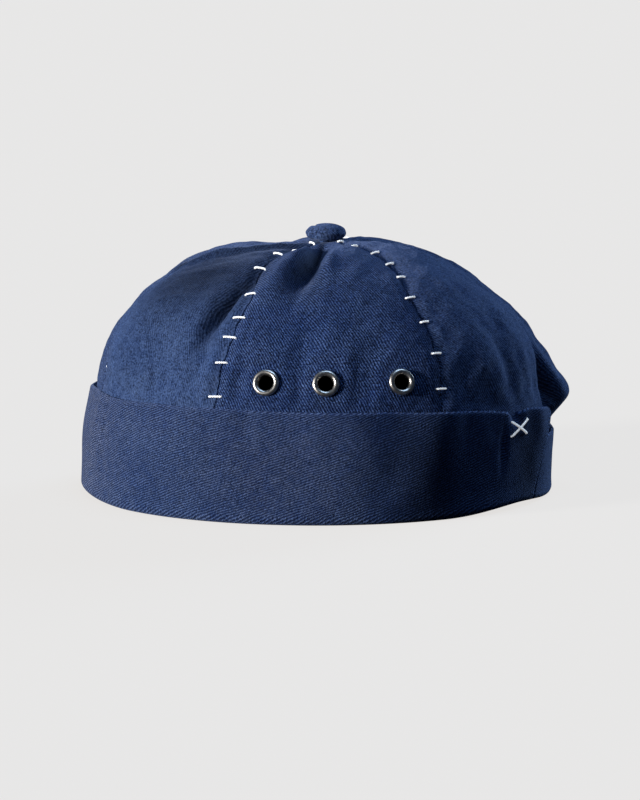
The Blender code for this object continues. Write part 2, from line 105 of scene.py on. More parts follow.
# The crown from rim to button, as in the model's own source
Section = namedtuple("Section", "rise front side back")
CROWN_SECTIONS = (
    Section(0.000, 1.000, 1.000, 1.000),
    Section(0.200, 0.991, 0.994, 0.995),
    Section(0.350, 0.974, 0.983, 0.978),
    Section(0.444, 0.962, 0.966, 0.960),
    Section(0.537, 0.942, 0.933, 0.944),
    Section(0.610, 0.908, 0.896, 0.906),
    Section(0.715, 0.828, 0.816, 0.822),
    Section(0.803, 0.725, 0.732, 0.704),
    Section(0.872, 0.608, 0.636, 0.594),
    Section(0.923, 0.495, 0.528, 0.484),
    Section(0.959, 0.372, 0.418, 0.388),
    Section(0.983, 0.235, 0.280, 0.270),
    Section(0.997, 0.100, 0.130, 0.118),
)

Seam = namedtuple("Seam", "name azimuth foot_lean top_lean")
SEAMS = (
    Seam("front", -92.0, 18.0, 17.0),
    Seam("left_front", -26.0, -1.0, -15.0),
    Seam("left_back", 31.2, 0.0, 8.0),
    Seam("back", 91.0, 0.0, 0.0),
    Seam("right_back", 151.0, 0.0, 0.0),
    Seam("right_front", 211.0, 0.0, 0.0),
)
SEAM_NAMED = {seam.name: seam for seam in SEAMS}
SEAM_GROOVE_DEPTH = 0.0009
SEAM_GROOVE_WIDTH = 0.0040
FOOT_LEAN_RISES = (0.40, 0.78)  # where a seam's lean at the foot ends
TOP_LEAN_RISES = (0.80, 1.0)  # where its lean at the top starts
BILLOW_RISES = (0.42, 0.74)  # where the panels start to billow
BILLOW_END_RISES = (0.94, 1.0)  # where they lose some of it again, and how much
BILLOW_LOSS = 0.35

# Panels between one seam and the next: how far the cloth billows, the slope of its wales down to the right in
# degrees, and how much of the weave its nap hides
Gore = namedtuple("Gore", "name fullness slope nap")
GORES = (
    Gore("panel_front_left", 0.020, 75.0, 0.75),
    Gore("panel_left_side", 0.012, 60.0, 0.05),
    Gore("panel_back_left", 0.012, 60.0, 0.38),
    Gore("panel_back_right", 0.014, 60.0, 0.30),
    Gore("panel_right_side", 0.018, 60.0, 0.10),
    Gore("panel_front_right", 0.034, 60.0, 0.20),
)

Lift = namedtuple("Lift", "azimuth half_angle height")
RIM_LIFTS = (
    Lift(56.0, 24.0, 0.0021),
    Lift(-84.0, 34.0, 0.0016),
)

# Folds and dents of the model, then the finer ones that only the cloth shows
Fold = namedtuple("Fold", "azimuth rise turn length width depth")
FOLDS = (
    Fold(-95.0, 0.985, 0.0, 0.130, 0.220, -0.034),
    Fold(-95.0, 0.870, 0.0, 0.100, 0.200, 0.012),
    Fold(-7.5, 0.968, 0.0, 0.200, 0.040, -0.056),
    Fold(-10.5, 0.890, 4.0, 0.160, 0.042, -0.030),
    Fold(-20.0, 0.930, 6.0, 0.170, 0.045, 0.024),
    Fold(9.0, 0.920, 0.0, 0.180, 0.090, 0.014),
    Fold(-36.0, 0.790, -2.0, 0.250, 0.060, -0.026),
    Fold(-46.0, 0.860, -10.0, 0.200, 0.150, -0.024),
    Fold(-62.0, 0.700, -10.0, 0.300, 0.120, 0.016),
    Fold(-5.0, 0.620, 0.0, 0.200, 0.050, -0.014),
    Fold(-20.0, 0.530, 0.0, 0.100, 0.035, -0.014),
    Fold(12.0, 0.560, 0.0, 0.160, 0.055, -0.018),
    Fold(47.0, 0.600, -8.0, 0.220, 0.070, 0.010),
    Fold(54.0, 0.520, -6.0, 0.140, 0.050, -0.013),
    Fold(-46.0, 0.520, 4.0, 0.150, 0.060, -0.014),
    Fold(79.0, 0.420, -2.0, 0.140, 0.040, -0.055),
    Fold(103.0, 0.420, 2.0, 0.140, 0.040, -0.055),
    Fold(165.0, 0.640, 5.0, 0.260, 0.110, 0.014),
    Fold(-165.0, 0.560, 0.0, 0.160, 0.080, -0.014),
    Fold(-128.0, 0.600, -4.0, 0.220, 0.090, 0.014),
)
FINE_FOLDS = (
    Fold(-35.0, 0.845, -2.0, 0.130, 0.028, -0.034),
    Fold(-35.5, 0.740, 3.0, 0.110, 0.026, -0.030),
    Fold(-33.0, 0.640, -4.0, 0.100, 0.024, -0.014),
    Fold(-41.0, 0.800, -16.0, 0.090, 0.024, 0.008),
    Fold(-44.0, 0.700, 12.0, 0.070, 0.020, -0.006),
    Fold(-50.0, 0.600, -20.0, 0.080, 0.024, -0.005),
    Fold(-9.0, 0.978, 0.0, 0.110, 0.020, -0.020),
    Fold(-16.5, 0.975, 0.0, 0.120, 0.022, 0.016),
    Fold(80.5, 0.420, 0.0, 0.100, 0.018, -0.026),
    Fold(1.5, 0.925, 4.0, 0.110, 0.028, 0.018),
    Fold(52.0, 0.500, -4.0, 0.120, 0.045, 0.008),
    Fold(-54.0, 0.470, 3.0, 0.090, 0.022, -0.0060),
    Fold(-49.0, 0.475, -3.0, 0.100, 0.020, 0.0060),
    Fold(-43.0, 0.470, 2.0, 0.090, 0.020, -0.0060),
    Fold(-37.0, 0.480, -4.0, 0.090, 0.022, 0.0050),
    Fold(-22.0, 0.470, 0.0, 0.080, 0.022, -0.0060),
    Fold(-5.0, 0.470, 0.0, 0.070, 0.022, -0.0050),
    Fold(9.0, 0.480, 0.0, 0.110, 0.030, -0.0080),
    Fold(14.0, 0.490, 0.0, 0.100, 0.022, 0.0060),
    Fold(38.0, 0.520, -4.0, 0.160, 0.030, -0.0040),
    Fold(45.0, 0.560, 6.0, 0.160, 0.030, 0.0030),
    Fold(56.0, 0.560, -8.0, 0.180, 0.035, -0.0040),
    Fold(64.0, 0.600, -10.0, 0.180, 0.030, 0.0030),
)

# Hand stitches over each seam: length, how far the middle of each sinks, and shares of the way up
Stitching = namedtuple("Stitching", "seam length sink shares")
EVEN_STITCHES = (0.335, 0.415, 0.495, 0.570, 0.645, 0.715, 0.785, 0.850, 0.905)
STITCHING = (
    Stitching("front", 0.0036, 0.0006, EVEN_STITCHES),
    Stitching("left_front", 0.0052, 0.0, (0.308, 0.397, 0.467, 0.527, 0.608, 0.734, 0.814, 0.884, 0.952)),
    Stitching("left_back", 0.0045, 0.0, (0.326, 0.421, 0.513, 0.589, 0.668, 0.740, 0.818, 0.903, 0.957)),
    Stitching("back", 0.0034, 0.0006, EVEN_STITCHES[1:]),
    Stitching("right_back", 0.0046, 0.0, EVEN_STITCHES),
    Stitching("right_front", 0.0046, 0.0, EVEN_STITCHES),
)

STITCH_LENGTHS = (0.92, 1.08)  # the shortest and the longest, as shares of the usual length
STITCH_SHORTER = 0.4  # how much shorter they get beside the button, and over which shares of the way up
STITCH_SHORTER_SHARES = (0.8, 0.95)
STITCH_ARCH = 0.00022
STITCH_STEPS = 15
STITCH_RIDE = 0.35  # shares of the thread's thickness: how high it lies, and how deep its ends go
STITCH_DIVE = 1.3
STITCH_DIVE_SHARES = (0.86, 1.0)
STITCH_OVER_HUMP = 1.1  # how far a stitch clears the cloth that bulges under it
THREAD_PLIES = 2
THREAD_TWIST = 0.0016
THREAD_SIDES = 7
PLY_RADIUS = 0.29  # shares of the thread's thickness
PLY_OFFSET = 0.22

PLEAT_AZIMUTH = 91.0
PLEAT_RISE = 0.385
PLEAT_HALF_ANGLE = 12.5
PLEAT_TOP = 0.61

# Detail of the cloth
SEAM_ROLL = 0.0007  # radius of the folded edges that meet in a seam
SEAM_RIDGE = 0.00016  # height of the ridge over the turned-in edge, on each side of a seam
SEAM_RIDGE_START = (0.0012, 0.0024)
SEAM_RIDGE_END = (0.0048, 0.0070)
STITCH_PULL = 0.00035  # how far each hand stitch pulls the cloth in
STITCH_REACH = 0.0030

# Where the folds and the finer detail set in: heights over the cuff's edge, and distances from the middle
FOLDS_OVER_CUFF = (-0.002, 0.010)
DETAIL_OVER_CUFF = (-0.001, 0.004)
FOLDS_BY_BUTTON = (0.45 * BUTTON_DIAMETER, 0.9 * BUTTON_DIAMETER)
DETAIL_BY_BUTTON = (0.4 * BUTTON_DIAMETER, 1.4 * BUTTON_DIAMETER)

# Cloth that puffs up beside a seam: which seam and side, how far away, half width, height, and the rises
# that it spans
Puff = namedtuple("Puff", "seam side away width height low high")
SEAM_PUFFS = (
    Puff("front", 1, 0.0042, 0.0027, 0.0036, 0.90, 0.985),
    Puff("front", -1, 0.0050, 0.0050, 0.0004, 0.88, 0.97),
    Puff("left_front", -1, 0.0040, 0.0022, 0.0006, 0.46, 0.90),
    Puff("back", -1, 0.0036, 0.0026, 0.0012, 0.50, 0.97),
)
PUFF_START = (-0.06, 0.04)  # rises, from a puff's low end, over which it sets in

# Swells of the cloth: the wavelength and height of each size, and how many random waves make up a size
SWELL_WAVES = 9
UNEVENNESS = ((0.055, 0.00025), (0.024, 0.00024), (0.010, 0.00013), (0.005, 0.00005))
SEAM_WANDER = ((0.017, 0.00035), (0.007, 0.00018))  # how far a seam strays to either side

SEEDS = {"crown": 11, "cuff": 23, "cuff_edge": 5, "stitches": 40, "seams": 500}

# Fading along an edge: how much, how far from the edge, and half width
Rub = namedtuple("Rub", "amount away width")
SEAM_RUB = Rub(0.07, 0.0016, 0.0014)
CUFF_EDGE_RUB = Rub(0.10, 0.0, 0.0013)
CUFF_FOOT_RUB = Rub(0.06, 0.001, 0.002)

# The cuff and the band between its ends
CUFF_WAVES = ((0.075, 0.00070), (0.034, 0.00042), (0.014, 0.00012))
CUFF_WAVE_CLIMB = 0.35  # how much of the waves' pattern the cuff's height covers
CUFF_FOOT_WAVES = 0.35  # share of their height that is left at the foot
CUFF_EDGE_CLIMB = 0.3  # the part of the pattern that its top edge follows
CUFF_EDGE_WAVES = ((0.090, 0.00050), (0.030, 0.00018))
CUFF_CORNER = 0.0050  # radius of the rounded corners at the cuff's ends
# How far the cuff's left end stands up, and between which azimuths it rises
CUFF_END_LIFT = 0.0014
CUFF_END_LIFT_AZIMUTHS = (56.0, 62.0)
EdgeDip = namedtuple("EdgeDip", "azimuth half_angle depth")
CUFF_EDGE_DIPS = (EdgeDip(54.5, 2.5, 0.0010), EdgeDip(-108.0, 24.0, 0.0018))
BAND_MARGIN = 1.4  # clearances between the band and each end of the cuff, measured level
STRIP_ROWS = 44
STRIP_BEND_ROWS = 15
STRIP_HEM_ROWS = 9
STRIP_EDGE_ROWS = 5  # rows close together over the rounded top edge
STRIP_EDGE_SHARES = (0.018, 0.030)  # how far down those rows and the next one are
STRIP_EDGE_DROP = 0.3  # shares of the wall: how far the first row is below the top, and the rounding's depth
STRIP_EDGE_ROUND = 0.45
STRIP_EDGE_THIN = 0.12  # thickness left at that edge
STRIP_END_THIN = 0.25  # and at the strip's two ends

# Dents and swells of the cuff, in metres: centre, turn from upright in degrees, half length, half width
# and depth
Dent = namedtuple("Dent", "azimuth height turn length width depth")
CUFF_DENTS = (
    Dent(-86.0, 0.0470, 0.0, 0.0120, 0.0300, -0.0015),
    Dent(-69.0, 0.0300, 2.0, 0.0280, 0.0022, -0.0010),
    Dent(-64.0, 0.0270, -3.0, 0.0240, 0.0022, -0.0008),
    Dent(54.8, 0.0412, -14.0, 0.0062, 0.0036, -0.0036),
    Dent(49.2, 0.0262, 4.0, 0.0095, 0.0018, -0.0013),
    Dent(66.5, 0.0390, 8.0, 0.0110, 0.0075, 0.0012),
    Dent(37.2, 0.0330, 0.0, 0.0110, 0.0045, -0.0008),
    Dent(27.0, 0.0360, 10.0, 0.0180, 0.0080, 0.0006),
    Dent(-17.8, 0.0430, -4.0, 0.0110, 0.0040, -0.0010),
    Dent(4.0, 0.0350, 10.0, 0.0140, 0.0050, -0.0006),
    Dent(-36.0, 0.0300, 12.0, 0.0220, 0.0090, 0.0006),
    Dent(-51.0, 0.0330, 8.0, 0.0160, 0.0060, -0.0007),
    Dent(-66.0, 0.0300, -8.0, 0.0220, 0.0080, 0.0006),
    Dent(16.5, 0.0190, 20.0, 0.0120, 0.0060, -0.0005),
)

# The cover of the button
TINY = 0.00002
BUTTON_BASE = CROWN_HEIGHT + CLEARANCE
BUTTON_EDGE = 0.42 * BUTTON_HEIGHT
BUTTON_GATHERS = 0.00005
BUTTON_GATHER_COUNT = 13.0
BUTTON_WRAP = 0.00007
BUTTON_WRAP_TURNS = 2.6
BUTTON_TUCK = 0.00055
BUTTON_TUCK_WIDTH = 0.0008
BUTTON_TUCK_OFFSET = 0.0050
BUTTON_TUCK_BEND = 18.0
BUTTON_TUCK_END = 0.004
BUTTON_TILT = 0.00025
BUTTON_WEAR = 0.12

# The cross tack by the cuff's end
CROSS_AZIMUTH = 55.8
CROSS_HEIGHT = 0.0342
CROSS_ARMS = ((0.0134, 0.0066), (0.0110, -0.0063))  # how far across and up each arm goes
CROSS_THREAD = 1.2  # thickness as a share of the other thread's
CROSS_ARCHES = (0.0003, 0.0007)  # how far each arm stands off the cloth

# Painted light and painted shade on the cloth: above zero the colour is lightened where more light falls, and
# below zero it is darkened where shade falls. Piece, azimuth and height of the centre, half width, half
# height, and how much
Fade = namedtuple("Fade", "piece azimuth height width tall amount")
PAINTED_LIGHT_AND_SHADE = (
    Fade("crown", -88.0, 0.052, 0.026, 0.022, 0.32),
    Fade("crown", -56.0, 0.066, 0.022, 0.016, -0.12),
    Fade("crown", -58.0, 0.097, 0.046, 0.016, -0.78),
    Fade("crown", -36.0, 0.075, 0.005, 0.014, -0.20),
    Fade("crown", 91.0, 0.052, 0.012, 0.016, 0.18),
    Fade("crown", -90.0, 0.0970, 0.0090, 0.0030, -0.55),
    Fade("crown", -83.0, 0.1015, 0.0080, 0.0022, -0.65),
    Fade("crown", -34.0, 0.086, 0.007, 0.014, -0.50),
    Fade("crown", -9.0, 0.1015, 0.012, 0.009, -0.90),
    Fade("crown", 46.0, 0.090, 0.036, 0.018, 0.16),
    Fade("crown", 56.0, 0.056, 0.026, 0.014, 0.16),
    Fade("crown", 80.5, 0.045, 0.005, 0.014, -0.80),
    Fade("cuff", -86.0, 0.026, 0.044, 0.050, 1.25),
    Fade("cuff", 24.0, 0.024, 0.016, 0.040, -0.50),
    Fade("cuff", 60.5, 0.016, 0.011, 0.026, -0.72),
    Fade("cuff", 78.0, 0.020, 0.009, 0.040, 0.40),
    Fade("cuff", 56.0, 0.046, 0.010, 0.007, 0.30),
    Fade("cuff", -10.0, 0.024, 0.042, 0.030, 0.46),
    Fade("cuff", -42.0, 0.038, 0.020, 0.012, 0.10),
)

# Mesh resolution
PANEL_ROWS = 170
PANEL_SPACING = 0.0011
SEAM_SPACINGS = (0.0, 0.25, 0.55, 0.9, 1.3, 1.8, 2.4, 3.1, 3.9, 4.8, 5.8)  # mm from a seam
CUFF_COLUMNS = 520
BAND_COLUMNS = 110
BUTTON_SIDES = 120
TABLE_STEPS = 240
NORMAL_TURN = 0.5  # degrees round and share up over which a slope is measured
NORMAL_CLIMB = 0.004

# Noises of the cloth, the metal and the thread: scale, detail and roughness
NOISES = {
    "drift": (120.0, 2.0, 0.5),
    "fray": (1500.0, 1.0, 0.5),
    "nap": (260.0, 3.0, 0.6),
    "stray": (420.0, 2.0, 0.5),
    "close": (300.0, 3.0, 0.6),
    "broad": (42.0, 3.0, 0.55),
    "speck": (1250.0, 1.0, 0.5),
    "smear": (700.0, 4.0, 0.6),
    "strand": (2600.0, 2.0, 0.5),
}
# The values that are stretched to 0 and 1
ENDS = {
    "nap": (0.36, 0.64),
    "rope": (0.12, 0.80),
    "rub": (0.35, 0.65),
    "patch": (0.38, 0.62),
    "speck": (0.30, 0.70),
    "polish": (0.3, 0.7),
    "handling": (0.35, 0.75),
}

# The weave
WANDER_GAIN = 8.0  # makes up for a noise that keeps close to its middle
FLOAT_RATE = 0.62  # floats along a wale, over one pitch
FLOAT_STEP = 0.37  # how far they shift from one wale to the next
FLOAT_STRAY = 0.9  # how unevenly they lie
FLOAT_RELIEF = 0.24  # how far they sink at their ends
FRAY = 1.3  # how much loose fibres break up the wales
SMEAR_DULLNESS = 0.06  # how much rougher the handled metal is
FINE_BUMP = 0.0001
DARKEST_SPECK = 0.1
SPECK_RELIEF = 0.35
CUFF_NAP = 0.10
CUFF_SPECKS = 0.55
CROWN_SPECKS = 0.85
BUTTON_NAP = 0.5
BUTTON_SLOPE = 30.0

# Lights: degrees right of the camera and above the floor, strength, angle across in degrees, and colour
Lamp = namedtuple("Lamp", "name azimuth height strength softness colour")
LAMPS = (
    Lamp("key", -62.0, 10.0, 7.6, 11.0, (1.0, 0.97, 0.92)),
    Lamp("overhead", 90.0, 80.0, 1.9, 40.0, (0.50, 0.72, 1.0)),
    Lamp("rim", 139.0, 20.0, 3.2, 28.0, (0.60, 0.80, 1.0)),
)

SKY_COLOUR = (0.38, 0.62, 1.0)

# The photograph's view
CAMERA_DISTANCE = 1.25
CAMERA_HEIGHT = 0.222
CAMERA_X = -0.0020
CAMERA_PITCH = 8.358
CAMERA_LENS = 130.9


def smooth_step(low, high, value):
    """0 below low, 1 above high, and a smooth S between them."""
    share = np.clip((value - low) / (high - low), 0.0, 1.0)
    return share * share * (3.0 - 2.0 * share)


def unit(vectors):
    """Vectors of length 1 in the same directions."""
    return vectors / np.linalg.norm(vectors, axis=-1, keepdims=True)


def turned(azimuth, centre):
    """Azimuth measured from a centre, from -180 to 180."""
    return (azimuth - centre + 180.0) % 360.0 - 180.0


def arc_from(azimuth, centre, radius):
    """Distance round the cap from a centre, at a radius."""
    return np.radians(turned(azimuth, centre)) * radius


def bell(distance, width):
    """1 at no distance, falling away smoothly to either side."""
    return np.exp(-((distance / width) ** 2))


def through_rows(rows, knots, at):
    """A smooth curve through rows of numbers, one at each knot."""
    low = max(0, min(len(rows) - 2, bisect_right(knots, at) - 1))
    span = knots[low + 1] - knots[low]
    share = (at - knots[low]) / span

    def slope(index):
        before, after = max(index - 1, 0), min(index + 1, len(rows) - 1)
        return (rows[after] - rows[before]) / (knots[after] - knots[before])

    cube, square = share**3, share**2
    return (
        (2 * cube - 3 * square + 1) * rows[low]
        + (cube - 2 * square + share) * span * slope(low)
        + (3 * square - 2 * cube) * rows[low + 1]
        + (cube - square) * span * slope(low + 1)
    )


def meridian_table():
    """The crown's sections at even steps of length from rim to button."""
    lengthwise, across = TIP_RADIUS / CROWN_HALF_LENGTH, TIP_RADIUS / CROWN_HALF_WIDTH
    tip = Section(rise=1.0, front=lengthwise, side=across, back=lengthwise)
    rows = np.array([*CROWN_SECTIONS, tip])
    up = np.diff(rows[:, 0]) * (CROWN_HEIGHT - FOOT_Z)
    knots = [0.0, *np.cumsum(np.hypot(up, np.diff(rows[:, 2]) * CROWN_HALF_WIDTH))]
    dense = [through_rows(rows, knots, knots[-1] * step / TABLE_STEPS) for step in range(TABLE_STEPS + 1)]
    return np.array(dense), knots[-1]


MERIDIAN, MERIDIAN_LENGTH = meridian_table()
MERIDIAN_SHARES = np.linspace(0.0, 1.0, TABLE_STEPS + 1)


def section_at(share):
    """The crown's section at shares of the way up from rim to button."""
    return Section(*(np.interp(share, MERIDIAN_SHARES, MERIDIAN[:, column]) for column in range(4)))


def share_at_rise(rise):
    """The share of the way up the cloth at a share of the crown's height."""
    return np.interp(rise, MERIDIAN[:, 0], MERIDIAN_SHARES)


def rim_lift(azimuth):
    """How far the underside of the cuff is off the floor."""
    height = 0.0
    for lift in RIM_LIFTS:
        away = np.abs(turned(azimuth, lift.azimuth))
        height = height + lift.height * (1.0 - smooth_step(0.0, lift.half_angle, away))
    return height


def share_at_height(height, azimuth):
    """The share of the way up the crown at which it has this height above the floor."""
    foot = FOOT_Z + rim_lift(azimuth)
    return share_at_rise(np.maximum(0.0, (height - foot) / (CROWN_HEIGHT - foot)))


def crown_base(azimuth, share):
    """Points of the crown before its folds."""
    section = section_at(share)
    turn = np.radians(azimuth)
    along, across = np.sin(turn), -np.cos(turn)
    lengthwise = np.where(along < 0, section.front, section.back)
    foot = FOOT_Z + rim_lift(azimuth)
    return np.stack(
        [
            RIM_CENTRE_X + APEX_SHIFT * section.rise + along * CROWN_HALF_LENGTH * lengthwise,
            across * CROWN_HALF_WIDTH * section.side,
            foot + section.rise * (CROWN_HEIGHT - foot),
        ],
        axis=-1,
    )


def surface_normal(azimuth, share, shape):
    """The outward directions of a surface given as a function of azimuth and share."""
    low, high = np.maximum(0.0, share - NORMAL_CLIMB), np.minimum(1.0, share + NORMAL_CLIMB)
    around = shape(azimuth + NORMAL_TURN, share) - shape(azimuth - NORMAL_TURN, share)
    return unit(np.cross(around, shape(azimuth, high) - shape(azimuth, low)))


def from_forehead(azimuth):
    """Degrees round from the forehead, to either side."""
    return np.abs(turned(azimuth, -90.0))


def cuff_top(azimuth):
    """Height of the cuff's top edge. It droops towards its two ends at the nape."""
    last = 90.0 + CUFF_END_TOP
    droop = np.clip((from_forehead(azimuth) - DROOP_START) / (last - DROOP_START), 0.0, 1.0)
    return CUFF_HEIGHT - CUFF_DROOP * droop


def seam_azimuth(seam, rise):
    """Where a seam runs, as it leans over towards the cuff and the button."""
    foot, top = 1.0 - smooth_step(*FOOT_LEAN_RISES, rise), smooth_step(*TOP_LEAN_RISES, rise)
    return seam.azimuth + seam.foot_lean * foot + seam.top_lean * top


def apex_radius(base, rise):
    """Distance from the upright line through the button."""
    return np.hypot(base[..., 0] - RIM_CENTRE_X - APEX_SHIFT * rise, base[..., 1])


def seam_distance(azimuth, rise, radius):
    """Distance from the nearest seam, along the cloth."""
    nearest = np.full(np.shape(azimuth), np.inf)
    for seam in SEAMS:
        nearest = np.minimum(nearest, np.radians(np.abs(turned(azimuth, seam_azimuth(seam, rise)))) * radius)
    return nearest


def billow(azimuth, rise):
    """How far each panel stands out between its two seams."""
    out = np.zeros(np.shape(azimuth))
    for index, seam in enumerate(SEAMS):
        here = seam_azimuth(seam, rise)
        width = (seam_azimuth(SEAMS[(index + 1) % len(SEAMS)], rise) - here) % 360.0
        past = (azimuth - here) % 360.0
        swell = GORES[index].fullness * CROWN_HEIGHT * np.sin(np.pi * np.clip(past / width, 0, 1))
        out = np.where(past <= width, swell, out)
    return out * smooth_step(*BILLOW_RISES, rise) * (1.0 - BILLOW_LOSS * smooth_step(*BILLOW_END_RISES, rise))


def mound(spot, across, along, scale):
    """A rounded mound or dent as a table has it, at distances across and along from its centre."""
    turn = math.radians(spot.turn)
    run = along * math.cos(turn) + across * math.sin(turn)
    side = across * math.cos(turn) - along * math.sin(turn)
    return spot.depth * scale * bell(run, spot.length * scale) * bell(side, spot.width * scale)


def fold_depth(folds, azimuth, share, radius):
    """All the folds and dents of a table, at each place."""
    depth = 0.0
    for fold in folds:
        across = arc_from(azimuth, fold.azimuth, radius)
        along = (share - share_at_rise(fold.rise)) * MERIDIAN_LENGTH
        depth = depth + mound(fold, across, along, CROWN_HEIGHT)
    return depth


def pleat_depth(azimuth, height):
    """The pleat that stands out over the nape band."""
    turn = np.abs(turned(azimuth, PLEAT_AZIMUTH)) / PLEAT_HALF_ANGLE
    peak = PLEAT_RISE * CROWN_HEIGHT
    below = smooth_step(BAND_HEIGHT + 0.001, peak, height)
    above = 1.0 - smooth_step(peak, PLEAT_TOP * CROWN_HEIGHT, height)
    base = crown_base(PLEAT_AZIMUTH, share_at_height(peak, PLEAT_AZIMUTH))
    wanted = RIM_CENTRE_X + RIM_LENGTH / 2 + PLEAT_REACH - base[0]
    return wanted * np.minimum(below, above) * np.sqrt(np.clip(1.0 - turn * turn, 0.0, 1.0))


def flat_by_eyelets(base):
    """0 where an eyelet holds the cloth flat, 1 away from the eyelets."""
    clear = 1.0
    for azimuth in EYELET_AZIMUTHS.values():
        for here in (azimuth, 180.0 - azimuth):
            centre = crown_base(here, share_at_height(EYELET_HEIGHT, here))
            away = np.linalg.norm(base - centre, axis=-1)
            clear = np.minimum(clear, smooth_step(EYELET_FLAT, 2 * EYELET_FLAT, away))
    return clear


def unevenness(points, steps, seed):
    """Soft random swells of the cloth, as (wavelength, height) steps."""
    draw = np.random.default_rng(seed)
    total = 0.0
    for wavelength, height in steps:
        ways = unit(draw.normal(size=(SWELL_WAVES, 3)))
        lengths = wavelength * draw.uniform(0.7, 1.4, SWELL_WAVES)
        phases = draw.uniform(0.0, 2.0 * np.pi, SWELL_WAVES)
        for way, length, phase in zip(ways, lengths, phases):
            swell = np.cos(2.0 * np.pi * (points @ way) / length + phase)
            total = total + height * math.sqrt(2.0 / SWELL_WAVES) * swell
    return total


def puffs(azimuth, rise, radius):
    """How far the cloth puffs up beside its seams."""
    height = 0.0
    for puff in SEAM_PUFFS:
        seam = seam_azimuth(SEAM_NAMED[puff.seam], rise)
        across = arc_from(azimuth, seam, radius) * puff.side
        span = smooth_step(*PUFF_START, rise - puff.low) * (1.0 - smooth_step(puff.high, 1.0, rise))
        height = height + puff.height * span * bell(across - puff.away, puff.width)
    return height


def painted_light_at(piece, azimuth, height):
    """How much light is painted onto the cloth of a piece at each place; below zero, painted shade."""
    amount = 0.0
    for painted_spot in PAINTED_LIGHT_AND_SHADE:
        if painted_spot.piece == piece:
            across = bell(arc_from(azimuth, painted_spot.azimuth, MEAN_RADIUS), painted_spot.width)
            amount = amount + painted_spot.amount * across * bell(height - painted_spot.height, painted_spot.tall)
    return amount


def stitch_pull(azimuth, share, rise, radius):
    """How far the hand stitches pull the cloth in, at each place."""
    pull = 0.0
    for stitching in STITCHING:
        seam = seam_azimuth(SEAM_NAMED[stitching.seam], rise)
        near = bell(arc_from(azimuth, seam, radius), STITCH_REACH)
        for place in stitching.shares:
            pull = pull + STITCH_PULL * near * bell((share - place) * MERIDIAN_LENGTH, STITCH_REACH)
    return pull


def crown_depth(azimuth, share, fine):
    """How far the cloth stands off the crown's base, with the finest detail or without it."""
    section = section_at(share)
    base = crown_base(azimuth, share)
    radius = apex_radius(base, section.rise)
    over_edge = base[..., 2] - cuff_top(azimuth)
    over_cuff = smooth_step(*FOLDS_OVER_CUFF, over_edge)
    by_button = smooth_step(*FOLDS_BY_BUTTON, radius)
    seam = seam_distance(azimuth, section.rise, radius)
    relief = billow(azimuth, section.rise) + fold_depth(FOLDS, azimuth, share, radius)
    relief = relief - SEAM_GROOVE_DEPTH * bell(seam, SEAM_GROOVE_WIDTH)
    if not fine:
        return relief * over_cuff * by_button * flat_by_eyelets(base) + pleat_depth(azimuth, base[..., 2])
    detail = fold_depth(FINE_FOLDS, azimuth, share, radius) + unevenness(base, UNEVENNESS, SEEDS["crown"])
    detail = detail + puffs(azimuth, section.rise, radius)
    ridge = smooth_step(*SEAM_RIDGE_START, seam) * (1.0 - smooth_step(*SEAM_RIDGE_END, seam))
    pull = stitch_pull(azimuth, share, section.rise, radius)
    detail = detail + (SEAM_RIDGE * ridge - pull) * smooth_step(*DETAIL_BY_BUTTON, radius)
    detail = detail * smooth_step(*DETAIL_OVER_CUFF, over_edge)
    relief = relief * over_cuff * by_button + detail
    return relief * flat_by_eyelets(base) + pleat_depth(azimuth, base[..., 2])


def crown_face(azimuth, share, fine):
    """The crown's outer face, as the model has it or with the finer folds, seam ridges and puckers."""
    normal = surface_normal(azimuth, share, crown_base)
    return crown_base(azimuth, share) + normal * np.expand_dims(crown_depth(azimuth, share, fine), -1)


crown_shape = partial(crown_face, fine=False)
crown_skin = partial(crown_face, fine=True)


def added(name, data):
    """A new object in the scene."""
    made = bpy.data.objects.new(name, data)
    bpy.context.scene.collection.objects.link(made)
    return made


def link(name, mesh, material):
    """A piece of the cap, riding on its one body."""
    mesh.materials.append(material)
    made = added(name, mesh)
    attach(made, "root")
    return made


def mesh_of(name, points, faces, **attributes):
    """A smooth mesh from arrays, with vectors or numbers kept at its points."""
    mesh = bpy.data.meshes.new(name)
    mesh.from_pydata(points.tolist(), [], faces)
    for key, values in attributes.items():
        kind, field = ("FLOAT_VECTOR", "vector") if values.ndim == 2 else ("FLOAT", "value")
        mesh.attributes.new(key, kind, "POINT").data.foreach_set(field, values.astype(np.float32).ravel())
    bm = bmesh.new()
    bm.from_mesh(mesh)
    bmesh.ops.recalc_face_normals(bm, faces=bm.faces)
    bm.to_mesh(mesh)
    bm.free()
    mesh.shade_smooth()
    return mesh


def quads(rows, columns, start=0, closed=False):
    """Faces of a grid of points, by rows."""
    wrap = columns if closed else columns - 1
    faces = []
    for row in range(rows - 1):
        for column in range(wrap):
            after = (column + 1) % columns
            low, high = start + row * columns, start + (row + 1) * columns
            faces.append((low + column, low + after, high + after, high + column))
    return faces


def border(rows, columns):
    """Places round the edge of a grid, and the place one step in from each."""
    edge = [(0, column) for column in range(columns)]
    edge += [(row, columns - 1) for row in range(1, rows)]
    edge += [(rows - 1, column) for column in range(columns - 2, -1, -1)]
    edge += [(row, 0) for row in range(rows - 2, 0, -1)]
    edge = np.array(edge)
    inward = np.clip(edge, 1, [rows - 2, columns - 2])
    return edge, inward


